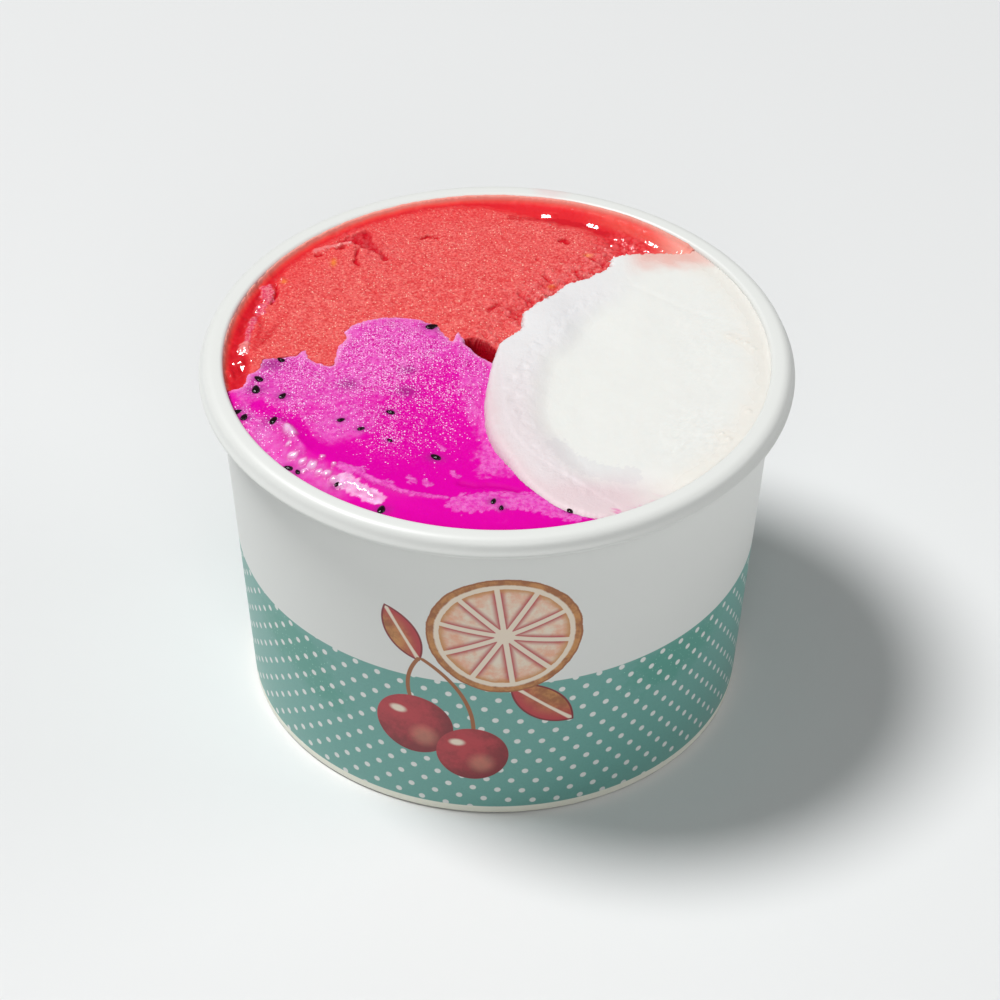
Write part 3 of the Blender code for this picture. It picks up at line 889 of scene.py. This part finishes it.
def dragon_level(places):
    """Mound, hollow and spatula ridge."""
    x, y = places.T
    depth = depth_inside(dragon_edge, places)
    wall = BRIM - np.hypot(x, y)
    away, side, along = path_place(RIDGE, places)
    level = 61.1 + swelling(x, y, (-15, 4), (12, 8), 1.1)
    level += swelling(x, y, (-34, -5), (7, 6), 0.5)
    level += swelling(x, y, (-6, -19), (9, 11), -1.1)
    level += swelling(x, y, (-24, -15), (8, 6), 0.35)
    level += swelling(x, y, (0, -35), (7, 2.6), 0.5)
    strength = ease(along / 0.15) * ease((0.97 - along) / 0.4)
    outer = away * (side < 0)
    level += strength * 0.55 * np.exp(-(away / (1.3 + 1.4 * (side > 0))) ** 2)
    level -= strength * 1.05 * ease(outer / 4.4)
    level += 0.3 * line_mark(CREST, places, 0.9) + 0.16 * line_mark(THIN_SMEAR, places, 0.5)
    level += beads(places, GLINTS) + 0.12 * line_mark(BLOB, places, 0.9)
    level -= 0.28 * line_mark(CREASE, places, 0.7)
    rough = 0.22 + 0.78 * ease((y + 12) / 10)
    rough = np.maximum(rough, swelling(x, y, (-26, -16), (8, 6), 0.9))
    rough = np.maximum(rough, 0.9 * ease(outer / 2) * ease((0.6 - along) / 0.15))
    level += rough * (0.24 * fractal(places, 4.2, 2.2, 2) + 0.15 * fractal(places, 1.2, 4.4, 4))
    beside = -depth_inside(lemon_edge, places)
    scraped = fractal(np.column_stack([x * 1.7, y * 0.45]), 1.5, 19.0, 3)
    level += 0.13 * ease((7 - beside) / 2) * ease((y + 29.5) / 2) * scraped
    level -= rounded_edge(depth, 0.7)
    level -= 0.3 * ease((1.6 - wall) / 1.6)
    level += 0.3 * np.exp(-wall / 0.6)
    return level


def dragon_paint(places, drop):
    x, y = places.T
    depth = depth_inside(dragon_edge, places)
    beside = -depth_inside(lemon_edge, places)
    wall = BRIM - np.hypot(x, y)
    away, side, along = path_place(RIDGE, places)
    gap, strip_side, _ = path_place(BESIDE_WHITE, places)
    patches = fractal(places, 3.0, 12.0, 4)
    flecks = fractal(places, 1.1, 13.0, 3)
    scraped = fractal(np.column_stack([x * 1.7, y * 0.45]), 1.5, 19.0, 3)
    frost = 0.22 * patches + 0.16 * flecks
    for middle, spread, amount, turn in (
            ((-17, 6), (13, 7), 1.2, 0), ((-34, -4.5), (7.5, 8), 1.4, 0),
            ((-20, -4), (9.5, 9), 0.75, 0), ((-24.5, -17.5), (6.5, 4.2), 0.8, 0),
            ((-38, -17), (3, 5), 0.7, 25),
            ((-28, -26.5), (5, 1.5), 0.5, -38), ((-20, -25.5), (4.5, 4), -0.9, 0),
            ((-9.4, -20), (5.4, 9.5), -1.3, 12), ((-10, -9), (5, 6), -0.5, 0)):
        frost += swelling(x, y, middle, spread, amount, turn)
    strip = ease(0.5 + (gap * strip_side + 0.9 * flecks + 0.5 * patches) / 1.6)
    strip *= ease((y + 29.4 + 0.9 * flecks) / 1.4)
    frost = np.maximum(frost, strip * (0.6 + 0.45 * scraped + 0.25 * flecks))
    frost += 0.8 * line_mark(CREST, places, 0.9)
    frost = np.maximum(frost, stroke(THIN_SMEAR, places, 0.8, 0.7) * 0.7)
    frost = np.maximum(frost, stroke(FRONT_PATCH, places, 4.4, 0.4) * (0.75 + 0.5 * flecks))
    for path, width in CRUMBS:
        frost = np.maximum(frost, 0.75 * stroke(path, places, width, 0.9))
    tongue = line_mark(TONGUE, places, 1.2)
    frost -= 1.3 * tongue
    frost -= 0.9 * stroke(CREASE, places, 1.5, 0.7)
    frost -= 0.5 * ease((1.6 - wall) / 1.2)
    frost -= 0.35 * swelling(x, y, (-33, -6), (5, 5), 1.0) * ease(0.4 - 2.2 * patches)
    grainy = (swelling(x, y, (-18, 1), (12, 11), 1.5) + swelling(x, y, (-30.5, -14.5), (4, 3.2), 0.9)
              + swelling(x, y, (-17, -17.5), (4.4, 6), 0.9) + swelling(x, y, (-10, -11), (5.5, 10), 0.42)
              + swelling(x, y, (-34, -4), (7, 8), 0.7) + swelling(x, y, (-4, -4), (3, 9), 0.5)
              + swelling(x, y, (-36, -17), (4, 6), 0.6, 25))
    grainy *= 1 - 0.8 * tongue
    outer = away * (side < 0)
    halo = np.zeros(len(places))
    for sx, sy, size in SEEDS + SUNK_SEEDS:
        halo = np.maximum(halo, swelling(x, y, (sx, sy), (0.72 * size, 0.56 * size), 1.0))
    bead = beads(places, GLINTS)
    wet = ease(2.4 * bead)
    blob = stroke(BLOB, places, 2.3, 0.4)
    return {
        "frost": ease(1.5 * frost - 0.15),
        "sparkle": grainy * (0.8 + 0.9 * patches),
        "wet": 0.75 * wet,
        # Pale slush on the wet beads and the blob, partly a painted highlight where the lamp shines on them.
        "slush_and_glint": np.maximum(0.8 * blob, 0.9 * wet) * (0.85 + 0.5 * flecks),
        "haze": ease((outer - 0.6) / 1.6) * ease((wall - 0.7) / 1.0) * ease((0.62 - along) / 0.12)
                * ease(along / 0.1) * (0.7 + 0.5 * flecks),
        # Darker magenta: a saturated line along the wall, a band at the front wall, a dark ring round each
        # wet bead, and painted shade in the crease behind the front patch.
        "rim": np.exp(-(wall / 1.1) ** 2) + 0.8 * line_mark(CREASE, places, 0.7)
               + 0.6 * np.exp(-(wall / 3) ** 2) * ease((-y - 24) / 8) * (1 - stroke(FRONT_PATCH, places, 5))
               + 0.9 * ease(7 * bead) * (1 - ease(2.6 * bead)),
        "fringe": ease((1.3 - depth) / 1.1),
        "halo": halo,
    }


# Seeds: place and length of each. The sunk ones only show as dim patches.
SEEDS = [
    (-34.4, -0.6, 1.7), (-37.7, -5.7, 1.9), (-38, -8.2, 2.3), (-33.7, -9.9, 1.7),
    (-40.7, -13.7, 1.9), (-39.5, -15.1, 1.8), (-34.8, -16, 2.1), (-24.3, -15.9, 1.4),
    (-21.1, -17.9, 1.3), (-32.1, -26.4, 1.6), (-30.6, -27.2, 1.4), (-24.3, -30.6, 1.3),
    (-17.4, -36.6, 2.2), (-16.7, -13.4, 1.6), (-16.6, -20.2, 1.1), (-9.4, -23.6, 2),
    (-0.3, -35.6, 1.4), (0.9, -37, 1.2), (11.3, -37.2, 1.6), (-10.6, 7.9, 2.3)]
SUNK_SEEDS = [(-35.8, -2, 3.2), (-23.4, -6.7, 2.4), (-14, -3, 1.8), (-14.2, -8, 2.4)]


def make_dragon():
    """Saturated magenta, pale pink where it is frosty, wet on the ridge."""
    material, tree, shader, place = new_material("Dragon fruit gelato")
    frost, sparkle, wet, slush_and_glint, haze, rim, fringe, halo = (attribute(tree, name) for name in (
        "frost", "sparkle", "wet", "slush_and_glint", "haze", "rim", "fringe", "halo"))
    cloud = mottle(tree, place, 0.9 * MM, 4, 0.65)
    grain = mottle(tree, place, 0.36 * MM, 2, 0.6)
    pink = blend_colour(tree, ramp(tree, cloud, 0.35, 0.65), (0.75, 0.045, 0.45), (0.84, 0.16, 0.58))
    colour = blend_colour(tree, frost, (0.735, 0.0, 0.375), pink)
    dark = times(tree, ramp(tree, grain, 0.54, 0.38), sparkle)
    colour = blend_colour(tree, dark, colour, (0.62, 0.0, 0.29))
    colour = blend_colour(tree, times(tree, fringe, 0.7), colour, (0.90, 0.38, 0.68))
    colour = blend_colour(tree, times(tree, haze, 0.6), colour, (0.76, 0.20, 0.58))
    # Darker magenta along the wall and round the beads, with painted shade in the crease.
    colour = blend_colour(tree, times(tree, rim, 0.85), colour, (0.62, 0.0, 0.28))
    colour = blend_colour(tree, times(tree, halo, 0.75), colour, (0.30, 0.02, 0.20))
    pale = times(tree, ramp(tree, grain, 0.5, 0.64), sparkle)
    colour = blend_colour(tree, times(tree, pale, 0.4), colour, (0.92, 0.30, 0.70))
    # Pale ice crystals in the grainy parts, painted near white: partly frost, partly a painted glint.
    for size, share, reach in ((0.38, 0.6, 0.42), (0.26, 0.45, 0.42)):
        points = crystals(tree, place, size * MM, times(tree, sparkle, share), reach)
        colour = blend_colour(tree, times(tree, points, 0.95), colour, (1.0, 0.66, 0.94))
    # Pale slush and painted highlight on the wet beads and the blob.
    colour = blend_colour(tree, slush_and_glint, colour, (0.93, 0.58, 0.84))
    tree.links.new(colour, shader.inputs["Base Color"])
    shader.inputs["Roughness"].default_value = 0.5
    shader.inputs["Specular IOR Level"].default_value = 0.06
    glossy_where(tree, shader, wet, 1.8)
    translucent(shader, 0.2, (1.0, 0.1, 0.7), 0.8 * MM)
    relief = times(tree, grain, reckon(tree, "MULTIPLY_ADD", frost, 0.8, 0.2))
    raise_bump(tree, shader, relief, 0.2 * MM, 0.9)
    return material


dragon = gelato_body("dragonfruit_gelato_body", dragon_room, (-44.5, -44.5), (26, 13),
                     dragon_level, make_dragon(), dragon_paint)
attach(dragon, "root")
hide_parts("dragonfruit_gelato")

# --- Dragon fruit seeds --------------------------------------------------
# Small black drops with a pebbled skin, wet and half sunk in the magenta.


def make_seeds():
    """All the seeds as one mesh, each turned its own way."""
    chance = np.random.default_rng(5)
    shape = bmesh.new()
    heights = dragon_level(np.array(SEEDS)[:, :2])
    for (x, y, length), height in zip(SEEDS, heights):
        made = bmesh.ops.create_uvsphere(shape, u_segments=18, v_segments=12, radius=0.5)["verts"]
        for point in made:
            taper = 1 - 0.4 * (point.co.x + 0.5)
            point.co.y *= taper
            point.co.z *= taper
        bmesh.ops.scale(shape, vec=(length, 0.72 * length, 0.5 * length), verts=made)
        turn = chance.uniform(0.1, 0.9) * math.pi
        cos, sin = math.cos(turn), math.sin(turn)
        for point in made:
            along, across = point.co.x, point.co.y
            point.co.x = x + along * cos - across * sin
            point.co.y = y + along * sin + across * cos
            point.co.z += height - 0.03 * length
    bmesh.ops.scale(shape, vec=(MM, MM, MM), verts=shape.verts)
    mesh = bpy.data.meshes.new("dragonfruit_seeds")
    shape.to_mesh(mesh)
    shape.free()
    mesh.shade_smooth()
    material, tree, shader, place = new_material("Wet black seed")
    pebble = mottle(tree, place, 0.3 * MM, 2)
    tree.links.new(blend_colour(tree, pebble, (0.004, 0.002, 0.003), (0.02, 0.008, 0.012)),
                   shader.inputs["Base Color"])
    shader.inputs["Roughness"].default_value = 0.12
    shader.inputs["Specular IOR Level"].default_value = 0.35
    raise_bump(tree, shader, pebble, 0.08 * MM)
    mesh.materials.append(material)
    seeds = bpy.data.objects.new("dragonfruit_seeds", mesh)
    bpy.context.scene.collection.objects.link(seeds)
    return seeds


seeds = make_seeds()
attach(seeds, "root")

# --- Strawberry gelato ---------------------------------------------------
# A flat red slab smoothed with the spatula. It has melted along the paper,
# where a glossy ring lies a little lower, and it is torn and crumbly where
# the white scoop was pushed against it.
SMEARS = [([(-37.6, 18.4), (-37.2, 15.2)], 2.0), ([(-38.3, 13.4), (-38.3, 12)], 1.6),
          ([(-39.2, 10.4), (-39.6, 8.4), (-40, 6.4)], 1.1), ([(-39.9, 5.4), (-40.2, 3.6)], 0.9)]
SMEAR_END = [(-40.3, 3.2), (-40.5, 1.8)]
STREAKS = [[(-38.2, 9.6), (-38.2, 6), (-38.8, 2.3)], [(-35.7, 8), (-36.6, 6), (-37.6, 3.6)]]
TEAR = [(-25.3, 32.2), (-22.8, 29.9), (-20, 28.2), (-18.9, 28.4), (-20.4, 30.8), (-21.6, 34)]
# Deep red marks: the route of each and its width.
MARKS = [([(-19.2, 27.8), (-18.5, 26.9)], 1.2), ([(-24.6, 31.8), (-26.2, 31.2)], 0.6),
         ([(-23, 29.5), (-23.4, 27.4), (-23.1, 25.4)], 0.5), ([(-23.3, 25.7), (-22.9, 25.2)], 1.0),
         ([(-29.9, 27.2), (-29, 27.6)], 0.6), ([(-26.4, 29.4), (-25.4, 29.7)], 0.6),
         ([(-36.1, 19.4), (-35.8, 16.8), (-36.6, 14.2)], 0.5),
         ([(12.7, 24.2), (13.4, 21.7)], 0.5), ([(7.3, 22.3), (9.2, 20.4)], 0.45),
         ([(11, 21), (11.6, 20.7)], 0.6), ([(4.1, 17), (4.9, 14.5)], 0.5),
         ([(-1.4, 12.8), (0, 14.8)], 0.4), ([(1.2, 13.7), (3.7, 12)], 0.4),
         ([(10.6, 32.4), (11, 32.4)], 0.7), ([(6.4, 26.9), (6.5, 26.8)], 0.5),
         ([(-12.8, 32.4), (-11.5, 33.2), (-10.2, 32.6)], 0.5),
         ([(15.2, 27.4), (16.4, 26.4), (17.4, 26.2)], 0.5), ([(13.1, 22.9), (14.2, 21.2)], 0.8),
         ([(16.9, 26.9), (17.2, 25.4)], 0.8), ([(10.4, 32.2), (11.4, 31.6)], 0.9),
         ([(6.7, 20.6), (7.8, 19.4)], 0.5), ([(3.4, 17.8), (4.4, 16.2), (5.8, 15.6)], 0.5),
         ([(1.6, 11.8), (3.2, 11.4)], 0.6), ([(-1.4, 13.4), (0.4, 14.4)], 0.5)]
BORDER = [(2, 38.4), (7, 38.2), (11.3, 37.7), (15, 36.3), (18, 34.3)]
CRUMB_ROW = [(-30.3, 28.5), (-28, 29.6), (-24.3, 30.9)]
HOLE = [(-3.2, 0.2), (-0.6, -1.2), (0.6, 2.2), (-0.6, 3.4), (-2.6, 5.1), (-4.4, 5.5),
        (-6, 4)]
# Ripples and beads in the melt: place, length, width and turn of each glint.
RIPPLES = [(7.9, 39.3, 1.5, 0.75, 0), (15.7, 36.7, 1.4, 0.75, -25), (20.9, 32, 1.3, 0.65, -60),
           (25.2, 31.8, 1.6, 0.6, -38), (27.8, 29.2, 1.3, 0.55, -42), (-40.6, -1.6, 1.6, 0.6, -65),
           (-42.2, -4.6, 1.4, 0.6, -75)]
RED_BEADS = [(8.1, 36.2, 0.45, 0.4, 0), (-35.5, 20.6, 0.5, 0.45, 0), (-38.2, 14.3, 0.5, 0.45, 0),
             (-38.8, 13.2, 0.4, 0.4, 0), (-39.2, 12.1, 0.4, 0.4, 0), (-40.7, 2.2, 0.7, 0.5, -50),
             (-39.2, -1, 0.6, 0.45, 0), (-28.6, 28.6, 0.4, 0.4, 0), (-26.3, 30, 0.4, 0.35, 0),
             (-24.6, 30.6, 0.35, 0.35, 0), (-38.6, 8.3, 0.35, 0.35, 0), (-37.4, 6.2, 0.35, 0.3, 0),
             (-38, 4.2, 0.35, 0.35, 0)]
tear_edge = search_tree(smooth_outline(TEAR, 0.1))
hole_edge = search_tree(smooth_outline(HOLE, 0.1))


def strawberry_room(places):
    depth = np.minimum(0.3 - depth_inside(dragon_edge, places),
                       0.3 - depth_inside(lemon_edge, places))
    return np.minimum(depth, BRIM - np.hypot(*places.T))


def melting(places):
    """1 in the melted ring, 0 on the frozen slab."""
    x, y = places.T
    wall = BRIM - np.hypot(x, y)
    width = 1.4 + 4.4 * ease((x + 8) / 18) + 0.8 * fractal(places, 6, 31.0, 3)
    width += swelling(x, y, (-39, 12), (5, 10), 1.9) + swelling(x, y, (-42, -2), (5, 6), 3.6)
    corner = ease((x + 0.6 * y - 33) / 6)
    return np.maximum(1 - ease((wall - width) / 2.4 + 0.5), corner)


def hole(places):
    """How deep the gap between the three flavours is."""
    return 5 * ease(depth_inside(hole_edge, places) / 0.4)


def marked(places):
    """1 in the deep red tears, slits and pits."""
    marks = ease(depth_inside(tear_edge, places) / 0.3 + 0.5 + 0.8 * fractal(places, 0.9, 41.0, 3))
    for path, width in MARKS:
        marks = np.maximum(marks, stroke(path, places, width, 0.6))
    return marks


def crumbled(places):
    """0 on the smooth slab, 1 where the white scoop broke it up."""
    x, y = places.T
    to_lemon = -depth_inside(lemon_edge, places)
    near_white = ease((8.5 - to_lemon + 2 * fractal(places, 3, 43.0, 2)) / 8)
    near_white *= ease((27 - x) / 6) * (1 - swelling(x, y, (1.2, 8), (2, 3), 1.0))
    return np.maximum(near_white, 0.7 * line_mark([(-24, 32), (-20, 28)], places, 2.6))


def lumps(places, size, seed):
    """0 in the cracks between lumps, 1 on them."""
    warped = places / size + 0.45 * np.column_stack([fractal(places, 0.9, seed + 1, 2),
                                                     fractal(places, 0.9, seed + 2, 2)])
    gaps = np.empty(len(places))
    for index, (x, y) in enumerate(warped):
        first, second = noise.voronoi(Vector((x, y, seed)))[0][:2]
        gaps[index] = second - first
    return ease(gaps / 0.3)


def strawberry_level(places):
    x, y = places.T
    to_lemon = -depth_inside(lemon_edge, places)
    wall = BRIM - np.hypot(x, y)
    crumbs = crumbled(places)
    level = 61.35 + 0.012 * y
    level += 0.12 * fractal(places, 9, 21.0, 2)
    level += (0.08 + 0.4 * crumbs) * fractal(places, 1.3, 23.0, 4)
    level += 0.24 * crumbs * (lumps(places, 1.2, 27.0) - 0.8)
    level += 0.07 * (1 - 0.8 * melting(places)) * fractal(places, 0.7, 25.0, 2)
    level += swelling(x, y, (1.6, 8.6), (2, 3), -0.7, -35)
    level -= 0.3 * ease((1 - to_lemon) / 1)
    melt = melting(places)
    level -= 0.45 * melt
    level += sum(0.22 * stroke(path, places, width, 0.4) for path, width in SMEARS)
    level += 0.3 * stroke(SMEAR_END, places, 1.5, 0.4)
    level += 0.22 * line_mark(CRUMB_ROW, places, 0.5)
    level += 0.25 * melt * ease((-34 - x) / 3) * fractal(places, 1.8, 51.0, 3)
    level += beads(places, RED_BEADS) + facets(places, RIPPLES)
    level += 0.4 * np.exp(-wall / 1.2) + 0.85 * np.exp(-wall / 0.5)
    return level - hole(places) - 0.4 * marked(places) - 0.3 * swelling(x, y, (-11.5, 32), (1.1, 0.9), 1)


def strawberry_paint(places, drop):
    x, y = places.T
    wall = BRIM - np.hypot(x, y)
    crumbs = crumbled(places)
    melt = melting(places)
    flecks = (swelling(x, y, (-27, 25.4), (0.45, 0.9), 1) + swelling(x, y, (14.8, 28.2), (0.7, 0.4), 1)
              + swelling(x, y, (8.7, 19.6), (0.6, 0.4), 1) + swelling(x, y, (-34.9, 20), (0.5, 0.5), 1))
    smear = np.zeros(len(places))
    for path, width in SMEARS:
        smear = np.maximum(smear, stroke(path, places, width, 0.5))
    # Deep red in the tears, slits and pits; in the cracks between the crumbs by the white scoop it is
    # painted shade.
    deep = np.maximum(marked(places), 0.55 * crumbs * (1 - lumps(places, 1.2, 27.0)))
    deep = np.maximum(deep, 0.6 * stroke(BORDER, places, 1.4, 0.6))
    for path in STREAKS:
        deep = np.maximum(deep, 0.6 * line_mark(path, places, 0.55))
    left = ease((-x - 30) / 6)
    deep = np.maximum(deep, 0.75 * melt * left)
    deep = np.maximum(deep, 0.5 * np.exp(-((wall - 1.4) / 0.9) ** 2) * ease((8 - x) / 12))
    return {
        "melt": melt + 0.3 * ease((9 - wall) / 7) + ease(-drop / 0.8),
        "wet": (ease(1.6 * melt - 0.2) * ease((wall - 0.9) / 1.1) + ease(3 * beads(places, RED_BEADS))
                + 0.4 * smear),
        "deep": deep,
        # The gap between the flavours, painted almost black-red as painted shade in the hole.
        "hollow": ease((depth_inside(hole_edge, places) + 0.2) / 0.25),
        "film": 1.3 * ease((1.5 - wall) / 1.4) + ease((x - 12) / 10) * ease((4.2 - wall) / 2),
        "thin": ease((0.7 - wall) / 0.7) + ease((x - 24) / 7),
        "smear": smear,
        # Paler on the crumb row and the smear's end; on the tops of the crumbs by the white scoop it is
        # painted light.
        "light": (0.8 * stroke(CRUMB_ROW, places, 0.8, 0.8) + 1.0 * stroke(SMEAR_END, places, 1.5, 0.5)
                  + 0.4 * crumbs * lumps(places, 1.2, 27.0)),
        "fleck": flecks,
    }


def make_strawberry():
    """Frosty coral red, deep and glossy where it has melted."""
    material, tree, shader, place = new_material("Strawberry gelato")
    melt, wet, deep, hollow, film, thin, smear, light, fleck = (attribute(tree, name) for name in (
        "melt", "wet", "deep", "hollow", "film", "thin", "smear", "light", "fleck"))
    cloud = mottle(tree, place, 2.0 * MM, 4, 0.6)
    grain = mottle(tree, place, 0.42 * MM, 3, 0.6)
    frosty = blend_colour(tree, ramp(tree, cloud, 0.35, 0.65), (0.80, 0.085, 0.085), (0.85, 0.125, 0.12))
    frosty = blend_colour(tree, times(tree, ramp(tree, grain, 0.5, 0.34), 0.8),
                          frosty, (0.66, 0.03, 0.035))
    frosty = blend_colour(tree, times(tree, ramp(tree, grain, 0.52, 0.66), 0.7),
                          frosty, (0.93, 0.29, 0.24))
    # Pale ice crystals painted as bright points: partly frost, partly a painted glint.
    for size, share in ((0.45, 0.12), (0.33, 0.12)):
        frosty = blend_colour(tree, crystals(tree, place, size * MM, share), frosty, (1.0, 0.58, 0.46))
    frosty = blend_colour(tree, times(tree, fleck, 0.8), frosty, (0.88, 0.30, 0.03))
    colour = blend_colour(tree, melt, frosty, (0.81, 0.02, 0.03))
    colour = blend_colour(tree, deep, colour, (0.60, 0.002, 0.014))
    colour = blend_colour(tree, times(tree, film, 0.65), colour, (0.90, 0.12, 0.09))
    colour = blend_colour(tree, times(tree, thin, 0.8), colour, (0.90, 0.42, 0.35))
    smeared = blend_colour(tree, ramp(tree, grain, 0.42, 0.6), (0.76, 0.06, 0.15), (0.88, 0.26, 0.32))
    colour = blend_colour(tree, times(tree, smear, 0.8), colour, smeared)
    # Paler crumbs and smear end, and painted light on the tops of the crumbs.
    colour = blend_colour(tree, times(tree, light, 0.6), colour, (0.94, 0.36, 0.36))
    # Painted shade in the hole between the flavours.
    colour = blend_colour(tree, hollow, colour, (0.42, 0.0, 0.01))
    tree.links.new(colour, shader.inputs["Base Color"])
    shader.inputs["Roughness"].default_value = 0.5
    shader.inputs["Specular IOR Level"].default_value = 0.12
    glossy_where(tree, shader, wet, 1.7)
    translucent(shader, 0.2, (1.0, 0.15, 0.1), 0.8 * MM)
    relief = times(tree, grain, reckon(tree, "MULTIPLY_ADD", melt, -0.85, 1.0))
    raise_bump(tree, shader, relief, 0.24 * MM, 0.9)
    return material


strawberry = gelato_body("strawberry_gelato_body", strawberry_room, (-44.5, -9), (36, 44.5),
                         strawberry_level, make_strawberry(), strawberry_paint)
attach(strawberry, "root")
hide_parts("strawberry_gelato")

# --- Table, light and camera ---------------------------------------------
# A pale seamless table under one large soft lamp high at the left. Two white
# boards, in front and at the right, open up the shadows. The camera looks
# down at the cup's front.
FLOOR_SIZE = 8.0
ROOM_LIGHT = 0.045
LAMPS = [("Soft lamp", (-1.06, 0.2, 2.4), 0.84, 63.5),
         ("Front board", (0.1, -1.2, 1.0), 0.8, 4.9),
         ("Right board", (1.3, 0.1, 0.7), 0.9, 4.1)]
CAMERA_LENS = 148.8
CAMERA_HEIGHT_ANGLE = math.radians(39.41)
CAMERA_ROLL = 0.0091
CAMERA_DISTANCE = 0.6975
CAMERA_SLIDE = (0.67 * MM, 25.06 * MM)


def make_table():
    shape = bmesh.new()
    bmesh.ops.create_grid(shape, x_segments=8, y_segments=8, size=FLOOR_SIZE / 2)
    mesh = bpy.data.meshes.new("table")
    shape.to_mesh(mesh)
    shape.free()
    material, tree, shader, place = new_material("Pale table")
    cloud = mottle(tree, place, 0.2, 2)
    tree.links.new(blend_colour(tree, cloud, (0.775, 0.785, 0.785), (0.79, 0.80, 0.80)),
                   shader.inputs["Base Color"])
    shader.inputs["Roughness"].default_value = 0.7
    mesh.materials.append(material)
    table = bpy.data.objects.new("table", mesh)
    bpy.context.scene.collection.objects.link(table)
    return table


def light_room():
    world = bpy.data.worlds.new("White room")
    world.use_nodes = True
    backdrop = world.node_tree.nodes["Background"]
    backdrop.inputs["Color"].default_value = (0.985, 1.0, 1.0, 1)
    backdrop.inputs["Strength"].default_value = ROOM_LIGHT
    bpy.context.scene.world = world
    for name, place, width, power in LAMPS:
        lamp = bpy.data.lights.new(name, "AREA")
        lamp.shape = "DISK"
        lamp.size = width
        lamp.energy = power
        stand = bpy.data.objects.new(name, lamp)
        stand.location = place
        stand.rotation_euler = (-Vector(place)).to_track_quat("-Z", "Y").to_euler()
        stand.visible_camera = False
        bpy.context.scene.collection.objects.link(stand)


def place_camera():
    rise = CAMERA_HEIGHT_ANGLE
    right = Vector((1, 0, 0))
    up = Vector((0, math.sin(rise), math.cos(rise)))
    back = Vector((0, -math.cos(rise), math.sin(rise)))
    lens = bpy.data.cameras.new("Camera")
    lens.lens = CAMERA_LENS
    lens.clip_start = 0.01
    camera = bpy.data.objects.new("Camera", lens)
    camera.location = back * CAMERA_DISTANCE + right * CAMERA_SLIDE[0] + up * CAMERA_SLIDE[1]
    camera.rotation_euler = back.to_track_quat("Z", "Y").to_euler()
    camera.rotation_euler.rotate_axis("Z", CAMERA_ROLL)
    bpy.context.scene.collection.objects.link(camera)
    bpy.context.scene.camera = camera


make_table()
light_room()
place_camera()
bpy.context.scene.view_settings.view_transform = "Standard"
